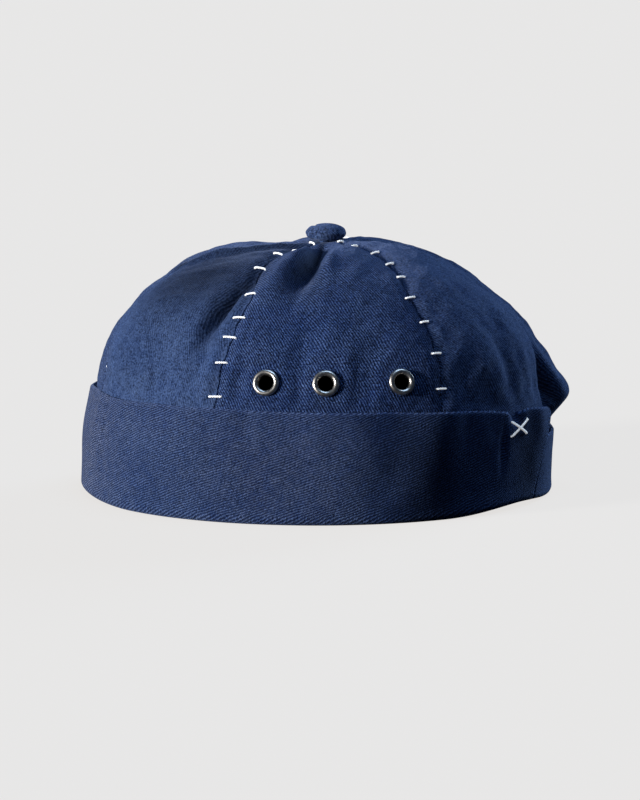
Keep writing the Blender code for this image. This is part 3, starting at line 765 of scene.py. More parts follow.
def cloth_shell(name, outer, inner, weave, wear):
    """A cloth wall between two like grids of points, closed all round by a rounded edge."""
    rows, columns = outer.shape[:2]
    edge, inward = border(rows, columns)
    at, beside = tuple(edge.T), tuple(inward.T)
    middle = (outer + inner) / 2
    outwards = unit(middle[at] - middle[beside])
    half = outer[at] - middle[at]
    bulge = np.linalg.norm(half, axis=-1, keepdims=True) * outwards
    points = [outer.reshape(-1, 3), inner.reshape(-1, 3)]
    size, count = rows * columns, len(edge)
    ring = edge[:, 0] * columns + edge[:, 1]
    rings = [ring]
    for step, angle in enumerate((45.0, 90.0, 135.0)):
        turn = math.radians(angle)
        points.append(middle[at] + half * math.cos(turn) + bulge * math.sin(turn))
        rings.append(2 * size + step * count + np.arange(count))
    rings.append(ring + size)
    faces = quads(rows, columns) + quads(rows, columns, size)
    for near, far in zip(rings, rings[1:]):
        for place in range(count):
            after = (place + 1) % count
            faces.append((int(near[place]), int(near[after]), int(far[after]), int(far[place])))
    flat_weave, flat_wear = weave.reshape(-1, 3), wear.ravel()
    weaves = np.concatenate([flat_weave, flat_weave] + [flat_weave[ring]] * 3)
    wears = np.concatenate([flat_wear, flat_wear] + [flat_wear[ring]] * 3)
    return mesh_of(name, np.concatenate(points), faces, weave=weaves, wear=wears)


def feed(tree, made, values):
    """Give a node's inputs their values, or link the sockets that feed them."""
    for key, value in values.items():
        if isinstance(value, bpy.types.NodeSocket):
            tree.links.new(value, made.inputs[key])
        else:
            made.inputs[key].default_value = value


def node(tree, kind, values=None, **settings):
    """A shader node with its settings and inputs."""
    made = tree.nodes.new(kind)
    for key, value in settings.items():
        setattr(made, key, value)
    feed(tree, made, values or {})
    return made


def maths(tree, operation, *values):
    """The result of one step of arithmetic."""
    return node(tree, "ShaderNodeMath", dict(enumerate(values)), operation=operation).outputs[0]


def group(name, inputs, outputs):
    """An empty node group with named sockets. An input is a number, or a vector if it has no default."""
    tree = bpy.data.node_groups.new(name, "ShaderNodeTree")
    for key, default in inputs.items():
        kind = "NodeSocketVector" if default is None else "NodeSocketFloat"
        socket = tree.interface.new_socket(key, in_out="INPUT", socket_type=kind)
        if default is not None:
            socket.default_value = default
    for key in outputs:
        tree.interface.new_socket(key, in_out="OUTPUT", socket_type="NodeSocketFloat")
    return tree, tree.nodes.new("NodeGroupInput").outputs, tree.nodes.new("NodeGroupOutput")


def noise(tree, place, name):
    """One of the noises, from 0 to 1."""
    scale, detail, rough = NOISES[name]
    values = {"Vector": place, "Scale": scale, "Detail": detail, "Roughness": rough}
    return node(tree, "ShaderNodeTexNoise", values).outputs["Fac"]


def spread(tree, value, name, to_low=0.0, to_high=1.0):
    """A value stretched between two ends."""
    low, high = ENDS[name]
    ends = {"Value": value, "From Min": low, "From Max": high, "To Min": to_low, "To Max": to_high}
    return node(tree, "ShaderNodeMapRange", ends).outputs[0]


def twill_group():
    """Diagonal wales of twill, each a row of short floats: their height, and the furrows between them."""
    if "Twill" in bpy.data.node_groups:
        return bpy.data.node_groups["Twill"]
    tree, given, out = group(
        "Twill",
        {"Cloth": None, "Pitch": 0.001, "Turn": 1.0, "Wander": 0.0002, "Nap": 0.0},
        ("Height", "Furrow"),
    )
    calc, cloth = partial(maths, tree), given["Cloth"]
    drift = calc("SUBTRACT", noise(tree, cloth, "drift"), 0.5)
    fray = calc("SUBTRACT", noise(tree, cloth, "fray"), 0.5)
    cover = spread(tree, noise(tree, cloth, "nap"), "nap")
    turn = {"Vector": cloth, "Angle": given["Turn"]}
    turned_weave = node(tree, "ShaderNodeVectorRotate", turn, rotation_type="Z_AXIS").outputs[0]
    apart = node(tree, "ShaderNodeSeparateXYZ", {"Vector": turned_weave}).outputs
    shift = calc("MULTIPLY", drift, calc("MULTIPLY", given["Wander"], WANDER_GAIN))
    across = calc("DIVIDE", calc("ADD", apart[0], shift), given["Pitch"])
    along = calc("DIVIDE", apart[1], given["Pitch"])
    wale = calc("MULTIPLY_ADD", calc("COSINE", calc("MULTIPLY", across, math.tau)), 0.5, 0.5)
    stray = calc("MULTIPLY", noise(tree, cloth, "stray"), FLOAT_STRAY)
    step = calc("MULTIPLY_ADD", calc("FLOOR", across), FLOAT_STEP, stray)
    floats = calc("COSINE", calc("MULTIPLY", calc("MULTIPLY_ADD", along, FLOAT_RATE, step), math.tau))
    rope = calc("MULTIPLY", wale, calc("MULTIPLY_ADD", floats, FLOAT_RELIEF, 1.0 - FLOAT_RELIEF))
    lean = spread(tree, calc("MULTIPLY_ADD", fray, FRAY, rope), "rope")
    covered = calc("MULTIPLY", given["Nap"], calc("MULTIPLY_ADD", cover, 0.5, 0.5))
    bare = calc("SUBTRACT", 1.0, covered)
    furrow = calc("MULTIPLY", calc("SUBTRACT", 1.0, lean), bare)
    feed(tree, out, {
        "Height": calc("MULTIPLY", lean, bare),
        "Furrow": node(tree, "ShaderNodeClamp", {"Value": furrow}).outputs[0],
    })
    return tree


def wash_and_light_group():
    """Garment washing: soft patches, specks of lint and fading where edges rub, along with painted light that
    lightens the cloth and painted shade that darkens it.
    """
    if "Wash and painted light" in bpy.data.node_groups:
        return bpy.data.node_groups["Wash and painted light"]
    tree, given, out = group(
        "Wash and painted light",
        {"Place": None, "Wear and painted light": 0.0},
        ("Patch", "Fade", "Shade", "Speck"),
    )
    calc, place, wear = partial(maths, tree), given["Place"], given["Wear and painted light"]
    close = noise(tree, place, "close")
    patch = calc("MULTIPLY_ADD", noise(tree, place, "broad"), 0.55, calc("MULTIPLY", close, 0.45))
    rub = calc("MULTIPLY_ADD", spread(tree, close, "rub"), 0.6, 0.4)
    feed(tree, out, {
        "Patch": spread(tree, patch, "patch"),
        "Fade": calc("MULTIPLY", calc("MAXIMUM", wear, 0.0), rub),
        "Shade": calc("ADD", calc("MINIMUM", wear, 0.0), 1.0),
        "Speck": spread(tree, noise(tree, place, "speck"), "speck"),
    })
    return tree


def new_material(name):
    """A material with its nodes and its main shader."""
    material = bpy.data.materials.new(name)
    material.use_nodes = True
    return material, material.node_tree, material.node_tree.nodes["Principled BSDF"]


def mix(tree, factor, first, second):
    """A blend of two colours or sockets."""
    ends = (value if isinstance(value, bpy.types.NodeSocket) else (*value, 1.0) for value in (first, second))
    return node(tree, "ShaderNodeMix", {0: factor, **dict(zip((6, 7), ends))}, data_type="RGBA").outputs[2]


def bump(tree, height, strength, distance):
    """A relief too fine for the mesh."""
    values = {"Height": height, "Strength": strength, "Distance": distance}
    return node(tree, "ShaderNodeBump", values).outputs[0]


def object_place(tree):
    """The place on a piece, for its noises."""
    return node(tree, "ShaderNodeTexCoord").outputs["Object"]


def twill_material(name, cloth, slope, nap, specks=1.0):
    """Navy twill: wales from the weave laid on each piece with painted shade in their furrows, nap, washed
    patches, lint, worn edges, and painted light and shade at places.
    """
    if name in bpy.data.materials:
        return bpy.data.materials[name]
    material, tree, shader = new_material(name)
    calc = partial(maths, tree)
    weave = node(tree, "ShaderNodeAttribute", attribute_name="weave").outputs["Vector"]
    wear = node(tree, "ShaderNodeAttribute", attribute_name="wear").outputs["Fac"]
    lay = {"Cloth": weave, "Pitch": cloth.wale_pitch, "Turn": math.radians(slope - 90.0)}
    lay.update({"Wander": cloth.wale_wander, "Nap": nap})
    twill = node(tree, "ShaderNodeGroup", lay, node_tree=twill_group()).outputs
    wash_and_light_inputs = {"Place": object_place(tree), "Wear and painted light": wear}
    wash_and_light = node(tree, "ShaderNodeGroup", wash_and_light_inputs, node_tree=wash_and_light_group()).outputs
    dyed = mix(tree, wash_and_light["Patch"], cloth.deep_colour, cloth.colour)
    fluffy = mix(tree, calc("MULTIPLY", wash_and_light["Speck"], nap), dyed, cloth.nap_colour)
    # Rubbed edges and painted light both lighten the cloth towards the paler colour here.
    worn_and_lit = mix(tree, wash_and_light["Fade"], fluffy, cloth.worn_and_lit_colour)
    # Painted shade: the furrows between the wales are darkened as their shadow would be, on top of their
    # bump.
    woven = mix(tree, calc("MULTIPLY", twill["Furrow"], cloth.furrow_shade), worn_and_lit, cloth.furrow_shade_colour)
    lint = cloth.lint * specks
    grain = calc("MAXIMUM", calc("MULTIPLY_ADD", wash_and_light["Speck"], lint, 1.0 - lint / 2), DARKEST_SPECK)
    # Painted shade: the colour is darkened where the painted light is below zero.
    tone = {0: woven, "Scale": calc("MULTIPLY", grain, wash_and_light["Shade"])}
    height = calc("MULTIPLY_ADD", wash_and_light["Speck"], SPECK_RELIEF, twill["Height"])
    feed(tree, shader, {
        "Base Color": node(tree, "ShaderNodeVectorMath", tone, operation="SCALE").outputs[0],
        "Normal": bump(tree, height, 1.0, cloth.wale_depth),
        "Roughness": 0.92,
        "Specular IOR Level": 0.02,
        "Sheen Weight": cloth.sheen,
        "Sheen Roughness": 0.45,
        "Sheen Tint": (*cloth.sheen_colour, 1.0),
    })
    return material


def nickel_material(metal):
    """Polished dark nickel with faint handling marks."""
    if "dark_nickel" in bpy.data.materials:
        return bpy.data.materials["dark_nickel"]
    material, tree, shader = new_material("dark_nickel")
    smear = noise(tree, object_place(tree), "smear")
    feed(tree, shader, {
        "Base Color": mix(tree, spread(tree, smear, "handling"), metal.colour, metal.worn_colour),
        "Roughness": spread(tree, smear, "polish", metal.polish, metal.polish + SMEAR_DULLNESS),
        "Normal": bump(tree, smear, 0.04, FINE_BUMP),
        "Metallic": 1.0,
    })
    return material


def thread_material(thread):
    """White cotton thread with a soft halo, and a painted glow that keeps it white in shade."""
    if "white_cotton" in bpy.data.materials:
        return bpy.data.materials["white_cotton"]
    material, tree, shader = new_material("white_cotton")
    strand = noise(tree, object_place(tree), "strand")
    feed(tree, shader, {
        "Base Color": mix(tree, strand, thread.shade_colour, thread.colour),
        # Painted glow: the thread gives off light of its own, so it stays white in shade.
        "Emission Color": (*thread.colour, 1.0),
        "Emission Strength": thread.brightness,
        "Normal": bump(tree, strand, 0.5, FINE_BUMP),
        "Roughness": 0.8,
        "Sheen Weight": 0.3,
    })
    return material


def rubbed(rub, away):
    """Fading along an edge, at distances from it."""
    return rub.amount * bell(away - rub.away, rub.width)


def crown_columns(width):
    """Places across a panel, as shares of its width, closer together by its seams."""
    edge = np.array(SEAM_SPACINGS) / 1000
    middle = np.arange(edge[-1] + PANEL_SPACING, width - edge[-1] - PANEL_SPACING / 2, PANEL_SPACING)
    return np.concatenate([edge, middle, width - edge[::-1]]) / width


def seam_stray(seam, share):
    """Degrees by which a seam wanders off its line, as hand-guided sewing does."""
    along = np.concatenate([share * MERIDIAN_LENGTH, share * 0.0 + seam.azimuth, share * 0.0], -1)
    stray = unevenness(along, SEAM_WANDER, int(seam.azimuth) + SEEDS["seams"])[..., None]
    return np.degrees(stray / MEAN_RADIUS) * smooth_step(0.0, 0.1, share) * smooth_step(0.0, 0.2, 1.0 - share)


def panel_grid(index):
    """Azimuths and shares over one panel, and how far each place is from the panel's own edges."""
    first, second = SEAMS[index], SEAMS[(index + 1) % len(SEAMS)]
    shares = np.linspace(0.0, 1.0, PANEL_ROWS + 1)[:, None]
    section = section_at(shares)
    start = seam_azimuth(first, section.rise) + seam_stray(first, shares)
    width = (seam_azimuth(second, section.rise) + seam_stray(second, shares) - start) % 360.0
    across = crown_columns(math.radians(width.max()) * MEAN_RADIUS)[None, :]
    azimuth = start + width * across
    share = np.broadcast_to(shares, azimuth.shape)
    radius = apex_radius(crown_base(azimuth, share), section_at(share).rise)
    to_edge = np.radians(width) * radius * np.minimum(across, 1.0 - across)
    from_centre = np.radians(width) * radius * (across - 0.5)
    return azimuth, share, to_edge, from_centre


def build_panel(index, cloth):
    """One panel of the crown, with its edges rolled in at the seams."""
    gore = GORES[index]
    azimuth, share, to_edge, from_centre = panel_grid(index)
    normal = surface_normal(azimuth, share, crown_base)
    inside = np.clip(to_edge, 0.0, SEAM_ROLL)
    roll = SEAM_ROLL - np.sqrt(SEAM_ROLL**2 - (SEAM_ROLL - inside) ** 2)
    outer = crown_skin(azimuth, share) - normal * roll[..., None]
    side = unit(crown_base(azimuth + NORMAL_TURN, share) - crown_base(azimuth - NORMAL_TURN, share))
    towards = np.where(from_centre < 0, 1.0, -1.0) * CLEARANCE / 4
    outer = outer + side * towards[..., None] * (to_edge < SEAM_ROLL)[..., None]
    inner = outer - normal * CLOTH
    weave = np.stack([from_centre, share * MERIDIAN_LENGTH, np.full(share.shape, float(index))], -1)
    # Rubbed seam edges, and the crown's painted light and painted shade.
    wear = rubbed(SEAM_RUB, to_edge) + painted_light_at("crown", azimuth, outer[..., 2])
    mesh = cloth_shell(gore.name + "_cloth", outer, inner, weave, wear)
    material = twill_material(gore.name + "_cloth", cloth, gore.slope, gore.nap, CROWN_SPECKS)
    made = link(gore.name + "_cloth", mesh, material)
    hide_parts(gore.name)
    return made


def eyelet_places():
    """Each eyelet's name, its panel, its centre on the cloth and the direction it faces."""
    for side, panel in (("left", "panel_left_side"), ("right", "panel_right_side")):
        for place, azimuth in EYELET_AZIMUTHS.items():
            here = np.array(azimuth if side == "left" else 180.0 - azimuth)
            share = share_at_height(EYELET_HEIGHT, here)
            centre = crown_shape(here, share)
            outward = surface_normal(here, share, crown_shape)
            yield f"eyelet_{side}_{place}", panel, Vector(centre), Vector(outward)


def drill_eyelets(panels):
    """Cut the holes for the eyelets through the two side panels."""
    for panel in {panel for _, panel, _, _ in eyelet_places()}:
        bm = bmesh.new()
        for _, owner, centre, outward in eyelet_places():
            if owner == panel:
                turn = outward.to_track_quat("Z", "Y").to_matrix().to_4x4()
                turn.translation = centre
                radius = EYELET_HOLE / 2 + EYELET_METAL + CLEARANCE
                size = {"segments": 32, "radius1": radius, "radius2": radius, "depth": 10 * CLOTH}
                bmesh.ops.create_cone(bm, cap_ends=True, matrix=turn, **size)
        cutting = bpy.data.meshes.new("drill")
        bm.to_mesh(cutting)
        bm.free()
        drill = added("drill", cutting)
        cut = panels[panel].modifiers.new("holes", "BOOLEAN")
        cut.object, cut.solver = drill, "EXACT"
        bpy.context.view_layer.update()
        evaluated = panels[panel].evaluated_get(bpy.context.evaluated_depsgraph_get())
        mesh = bpy.data.meshes.new_from_object(evaluated)
        panels[panel].modifiers.remove(cut)
        panels[panel].data = mesh
        bpy.data.objects.remove(drill)


def wall_at(azimuth, height):
    """The crown's outer face behind the cuff, and the level direction out of it."""
    share = share_at_height(height, azimuth)
    point = crown_base(azimuth, share)
    point[..., 2] = height
    outward = surface_normal(azimuth, share, crown_base)
    outward[..., 2] = 0.0
    return point, unit(outward)


Strip = namedtuple("Strip", "first last columns top wall slack seed")


def strip_path(rim, top, wall, slack):
    """The middle line of a turned-up strip, from its top to its hem: distance out, height, half thickness."""
    gap, inside = CLEARANCE, -CLOTH - CLEARANCE
    ply, hem = gap + wall / 2, inside - HEM_WALL / 2
    bend = (ply - hem) / 2
    bottom = (wall + HEM_WALL) / 4
    centre = rim + bend + bottom
    by_edge = np.linspace(0.0, STRIP_EDGE_SHARES[0], STRIP_EDGE_ROWS)
    below = np.linspace(STRIP_EDGE_SHARES[1], 1.0, STRIP_ROWS - STRIP_EDGE_ROWS)
    down = np.concatenate([by_edge, below])
    first = top - wall * STRIP_EDGE_DROP
    heights = first + (centre - first) * down
    stand = slack * smooth_step(0.0, 1.0, 1.0 - down)
    turn = np.radians(np.linspace(0.0, 180.0, STRIP_BEND_ROWS))[1:-1]
    up = np.linspace(centre, HEM_HEIGHT, STRIP_HEM_ROWS)
    out = [ply + stand, (ply + hem) / 2 + bend * np.cos(turn), np.full(STRIP_HEM_ROWS, hem)]
    high = [heights, centre - bend * np.sin(turn), up]
    rounded = 1.0 - np.clip(down * (top - centre) / (STRIP_EDGE_ROUND * wall), 0.0, 1.0)
    half = [
        wall / 2 * (STRIP_EDGE_THIN + (1.0 - STRIP_EDGE_THIN) * np.sqrt(1.0 - rounded**2)),
        wall / 2 + (HEM_WALL - wall) / 2 * (1 - np.cos(turn)) / 2,
        np.full(STRIP_HEM_ROWS, HEM_WALL / 2),
    ]
    return np.concatenate(out), np.concatenate(high), np.concatenate(half)


def cuff_swell(azimuth, height, top):
    """Waves, dimples and creases of the cuff: how far its cloth stands out, at each place."""
    level = np.clip(height / top, 0.0, 1.0)
    turn = np.radians(azimuth)
    at = np.stack([np.sin(turn), np.cos(turn), level * CUFF_WAVE_CLIMB], -1) * MEAN_RADIUS
    swell = unevenness(at, CUFF_WAVES, SEEDS["cuff"]) * (CUFF_FOOT_WAVES + (1.0 - CUFF_FOOT_WAVES) * level)
    for dent in CUFF_DENTS:
        across = arc_from(azimuth, dent.azimuth, MEAN_RADIUS)
        swell = swell + mound(dent, across, height - dent.height, 1.0)
    return swell


def build_strip(name, strip, cloth):
    """A strip turned up from the rim: its grid, its thickness and its rounded ends."""
    columns = np.linspace(0.0, 1.0, strip.columns)
    sections = []
    for share in columns:
        at_foot, at_top = (
            strip.first(level) + (strip.last(level) - strip.first(level)) * share
            for level in (0.0, CUFF_HEIGHT)
        )
        rim, top = float(rim_lift(at_foot)), strip.top(at_top, share)
        sections.append(strip_path(rim, top, strip.wall, strip.slack))
    out, height, half = (np.stack(part, 1) for part in zip(*sections))
    first, last = strip.first(height), strip.last(height)
    azimuth = first + (last - first) * columns[None, :]
    top = height[0][None, :]
    outer_ply = smooth_step(0.0, 0.004, out - (CLEARANCE - 0.002))
    out = out + cuff_swell(azimuth, height, top) * outer_ply * smooth_step(0.0, 0.25, height / top)
    to_end = np.minimum(columns, 1.0 - columns)[None, :] * np.radians(np.abs(last - first)) * MEAN_RADIUS
    from_edge = 1.0 - np.clip(to_end / (strip.wall / 2), 0.0, 1.0)
    half = half * (STRIP_END_THIN + (1.0 - STRIP_END_THIN) * np.sqrt(1.0 - from_edge**2))
    d_out, d_height = np.gradient(out, axis=0), np.gradient(height, axis=0)
    size = np.hypot(d_out, d_height)
    point, outward = wall_at(azimuth, height)
    middle = point + outward * out[..., None]
    across = outward * (-d_height / size)[..., None] + UP * (d_out / size)[..., None]
    thick = across * half[..., None]
    run = np.cumsum(size, axis=0)
    weave = np.stack([np.radians(azimuth) * MEAN_RADIUS, -run, np.full(run.shape, strip.seed)], -1)
    wear = (rubbed(CUFF_EDGE_RUB, run - run[0]) + rubbed(CUFF_FOOT_RUB, height)) * outer_ply
    # The cuff's and band's painted light and painted shade, added to their worn edges.
    wear = np.clip(wear + painted_light_at("cuff", azimuth, height), -1, 1)
    mesh = cloth_shell(name + "_cloth", middle + thick, middle - thick, weave, wear)
    material = twill_material("turned_up_cloth", cloth, cloth.cuff_slope, CUFF_NAP, CUFF_SPECKS)
    made = link(name + "_cloth", mesh, material)
    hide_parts(name)
    return made


def end_azimuth(height):
    """Where the cuff ends at a height, on the side at which azimuth is under 90."""
    top = CUFF_HEIGHT - CUFF_DROOP
    return CUFF_END_FOOT + (CUFF_END_TOP - CUFF_END_FOOT) * np.minimum(1.0, np.asarray(height) / top)


def rounded_corner(share, length, radius):
    """How far an edge drops as it turns down at a corner."""
    from_end = min(share, 1.0 - share) * length
    if from_end >= radius:
        return 0.0
    return radius - math.sqrt(max(radius**2 - (radius - from_end) ** 2, 0.0))


def cuff_edge(azimuth, share):
    """Height of the cuff's own top edge, with its waves, its dips and its rounded corners."""
    around = math.radians(2 * (90.0 + CUFF_END_TOP)) * MEAN_RADIUS
    turn = math.radians(azimuth)
    at = np.array([math.sin(turn), math.cos(turn), CUFF_EDGE_CLIMB]) * MEAN_RADIUS
    height = float(cuff_top(azimuth)) + float(unevenness(at, CUFF_EDGE_WAVES, SEEDS["cuff_edge"]))
    height += CUFF_END_LIFT * float(smooth_step(*CUFF_END_LIFT_AZIMUTHS, azimuth))
    for dip in CUFF_EDGE_DIPS:
        height -= dip.depth * float(bell(azimuth - dip.azimuth, dip.half_angle))
    return height - rounded_corner(share, around, CUFF_CORNER)


def cloth_thread(start, end, normal, size, arch):
    """Middle line of a stitch from one side of a seam to the other, with its ends down in the cloth."""
    along = np.linspace(0.0, 1.0, STITCH_STEPS)
    line = start + (end - start) * along[:, None]
    lift = size * STITCH_RIDE + arch * (1.0 - (2.0 * along - 1.0) ** 2)
    dive = smooth_step(*STITCH_DIVE_SHARES, np.abs(2.0 * along - 1.0)) * size * STITCH_DIVE
    return line + normal * (lift - dive)[:, None]


def ply_tubes(line, size):
    """The twisted plies of a thread along a middle line, as points and faces."""
    steps, sides = 3 * (len(line) - 1) + 1, THREAD_SIDES
    at = np.linspace(0.0, len(line) - 1.0, steps)
    line = np.stack([np.interp(at, np.arange(len(line)), line[:, axis]) for axis in range(3)], 1)
    ahead = unit(np.gradient(line, axis=0))
    aside = unit(np.cross(ahead, UP))
    above = np.cross(aside, ahead)
    run = np.concatenate([[0.0], np.cumsum(np.linalg.norm(np.diff(line, axis=0), axis=1))])
    around = np.linspace(0.0, 2.0 * np.pi, sides, endpoint=False)[None, :, None]
    ring = aside[:, None] * np.cos(around) + above[:, None] * np.sin(around)
    points, faces = [], []
    for number in range(THREAD_PLIES):
        turn = 2.0 * np.pi * (run / THREAD_TWIST + number / THREAD_PLIES)[:, None]
        centre = line + (aside * np.cos(turn) + above * np.sin(turn)) * size * PLY_OFFSET
        start = number * (steps * sides)
        points.append((centre[:, None] + size * PLY_RADIUS * ring).reshape(-1, 3))
        faces += quads(steps, sides, start, closed=True)
        faces.append(tuple(range(start + sides - 1, start - 1, -1)))
        faces.append(tuple(range(start + (steps - 1) * sides, start + steps * sides)))
    return np.concatenate(points), faces


def join_tubes(name, lines, size, material):
    """One piece of many threads."""
    points, faces, count = [], [], 0
    for line in lines:
        these, corners = ply_tubes(line, size)
        faces += [tuple(corner + count for corner in face) for face in corners]
        points.append(these)
        count += len(these)
    return link(name, mesh_of(name, np.concatenate(points), faces), material)


def seam_stitches(stitching, number, thread):
    """The white stitches over one seam, each a little out of line as a hand leaves it."""
    seam = SEAM_NAMED[stitching.seam]
    draw = np.random.default_rng(SEEDS["stitches"] + number)
    lines = []
    for share in stitching.shares:
        share = np.array(share)
        rise = section_at(share).rise
        here = seam_azimuth(seam, rise)
        normal = surface_normal(here, share, crown_base)
        shorter = 1.0 - STITCH_SHORTER * float(smooth_step(*STITCH_SHORTER_SHARES, share))
        half = stitching.length / 2 * draw.uniform(*STITCH_LENGTHS) * shorter
        skew = draw.uniform(-1.0, 1.0) * thread.skew * half / MERIDIAN_LENGTH
        turn = np.degrees(half / apex_radius(crown_base(here, share), rise))
        start, end = (crown_skin(here + way * turn, share + way * skew) for way in (-1.0, 1.0))
        between = np.array((0.3, 0.5, 0.7))
        ways = 2.0 * between - 1.0
        above = crown_skin(here + turn * ways, share + skew * ways) - start - (end - start) * between[:, None]
        hump = max(0.0, float((above @ normal).max()))
        arch = STITCH_ARCH - stitching.sink + STITCH_OVER_HUMP * hump
        lines.append(cloth_thread(start, end, normal, thread.size, arch))
    return join_tubes(f"stitches_{stitching.seam}", lines, thread.size, thread_material(thread))


Colour = partial(FloatVectorProperty, subtype="COLOR", size=3)
Length = partial(FloatProperty, unit="LENGTH", precision=5)
Share = partial(FloatProperty, min=0, max=1)


class CapCloth(bpy.types.PropertyGroup):
    """The twill of the cap"""

    colour: Colour(name="Colour", description="Dyed cloth", default=(0.044, 0.075, 0.168))
    deep_colour: Colour(
        name="Deep colour", description="Where the dye took best", default=(0.022, 0.045, 0.126)
    )
    # Painted shade in the furrows between the wales
    furrow_shade_colour: Colour(
        name="Furrow shade colour", description="Between the wales", default=(0.0008, 0.0030, 0.022)
    )
    nap_colour: Colour(
        name="Nap colour", description="Raised fibres over the weave", default=(0.027, 0.044, 0.094)
    )
    # Worn edges and painted light lighten the cloth towards this colour
    worn_and_lit_colour: Colour(name="Worn and lit colour", description="Worn edges, and painted light", default=(0.090, 0.110, 0.180))
    sheen_colour: Colour(
        name="Sheen colour", description="Light caught in the fuzz", default=(0.42, 0.56, 1.0)
    )
    furrow_shade: Share(name="Furrow shade", description="How dark the furrows are", default=0.92)
    lint: FloatProperty(name="Lint", description="How strong the specks are", default=1.5, min=0, max=1.5)
    sheen: Share(name="Sheen", description="Strength of the fuzz", default=0.16)
    wale_pitch: Length(name="Wale pitch", description="Distance between wales", default=0.00097)
    wale_depth: Length(name="Wale depth", description="Depth of the furrows", default=0.00022)
    wale_wander: Length(name="Wale wander", description="How far a wale strays", default=0.0002)
    cuff_slope: FloatProperty(
        name="Cuff slope",
        description="Slope of the cuff's wales down to the right, in degrees",
        default=-22.0,
    )


class CapMetal(bpy.types.PropertyGroup):
    """The metal of the eyelets"""

    colour: Colour(name="Colour", description="Plated metal", default=(0.30, 0.285, 0.275))
    worn_colour: Colour(name="Worn colour", description="Rubbed metal", default=(0.52, 0.50, 0.48))
    polish: Share(name="Polish", description="Lowest roughness", default=0.30)
    sides: IntProperty(name="Sides", description="Steps round each eyelet", default=56, min=12)


class CapThread(bpy.types.PropertyGroup):
    """The thread of the hand stitches"""

    colour: Colour(name="Colour", description="Thread", default=(0.93, 0.93, 0.92))
    shade_colour: Colour(name="Shade colour", description="Between its fibres", default=(0.72, 0.73, 0.76))
    # The thread's painted glow
    brightness: Share(name="Painted glow", description="How white it stays in shade", default=0.30)
    size: Length(name="Thickness", description="Of the whole thread", default=0.0009)
    skew: Share(name="Skew", description="How far a stitch strays from square", default=0.12)


class CapStudio(bpy.types.PropertyGroup):
    """The floor and the light"""

    floor_colour: Colour(
        name="Floor colour", description="The floor in the light", default=(0.055, 0.055, 0.055)
    )
    floor_glow: Colour(
        name="Floor glow", description="Even light on the floor", default=(0.750, 0.735, 0.720)
    )
    bounce_colour: Colour(
        name="Bounce colour", description="The floor as the cap sees it", default=(0.03, 0.03, 0.035)
    )
    floor_size: FloatProperty(
        name="Floor size", description="Length of one side", default=120.0, unit="LENGTH"
    )
    sky: FloatProperty(name="Sky", description="Strength of the light from all round", default=0.055, min=0)


def lathe(rings, sides, closed):
    """Points of a turned piece, as a grid with a row for each point of its profile."""
    turn = np.linspace(0.0, 2.0 * np.pi, sides, endpoint=False)
    radius, height = rings[:, 0][:, None], rings[:, 1][:, None]
    points = np.stack([radius * np.cos(turn), radius * np.sin(turn), height + 0.0 * turn], -1)
    faces = quads(len(rings), sides, 0, closed=True)
    if closed:
        last = (len(rings) - 1) * sides
        faces += [(last + s, last + (s + 1) % sides, (s + 1) % sides, s) for s in range(sides)]
    return points, faces


def arc(centre, radii, start, end, steps):
    """Points on an arc of an ellipse, as (radius, height), between two angles in degrees."""
    turn = np.radians(np.linspace(start, end, steps + 1))
    return np.stack([centre[0] + radii[0] * np.cos(turn), centre[1] + radii[1] * np.sin(turn)], 1)


def eyelet_profile():
    """A rounded flange outside, a barrel through the cloth and a rolled flange inside."""
    hole, flange, back = EYELET_HOLE / 2, EYELET_DIAMETER / 2, EYELET_BACK_DIAMETER / 2
    barrel = hole + EYELET_METAL
    inner = -CLOTH - EYELET_SEAT
    middle, half = (hole + flange) / 2, (flange - hole) / 2
    turned_in = 0.35 * EYELET_METAL
    return np.concatenate([
        arc((middle, EYELET_SEAT), (half, EYELET_DOME), -14.0, 180.0, 22),
        arc((hole + turned_in, inner), (turned_in, EYELET_METAL), 180.0, 270.0, 5),
        arc((back - turned_in, inner - EYELET_METAL / 2), (turned_in, EYELET_METAL / 2), -90.0, 90.0, 6),
        [(barrel, inner), (barrel, EYELET_SEAT - 0.5 * EYELET_METAL)],
        [(flange - 0.0008, EYELET_SEAT - 0.3 * EYELET_METAL)],
    ])


def button_profile():
    """The covered button, its post through the crown and the flange inside, from the top down."""
    radius, edge, post, flange = BUTTON_DIAMETER / 2, BUTTON_EDGE, POST_DIAMETER / 2, POST_FLANGE_DIAMETER / 2
    under = CROWN_HEIGHT - CLOTH - 2 * CLEARANCE
    return np.concatenate([
        arc((TINY, BUTTON_BASE + edge), (radius - TINY, BUTTON_HEIGHT - edge), 90.0, 0.0, 26),
        arc((radius - edge, BUTTON_BASE + edge), (edge, edge), -6.0, -90.0, 12),
        [(0.6 * radius, BUTTON_BASE), (post, BUTTON_BASE), (post, under), (flange, under)],
        [(flange, under - POST_FLANGE_WALL), (TINY, under - POST_FLANGE_WALL)],
    ])


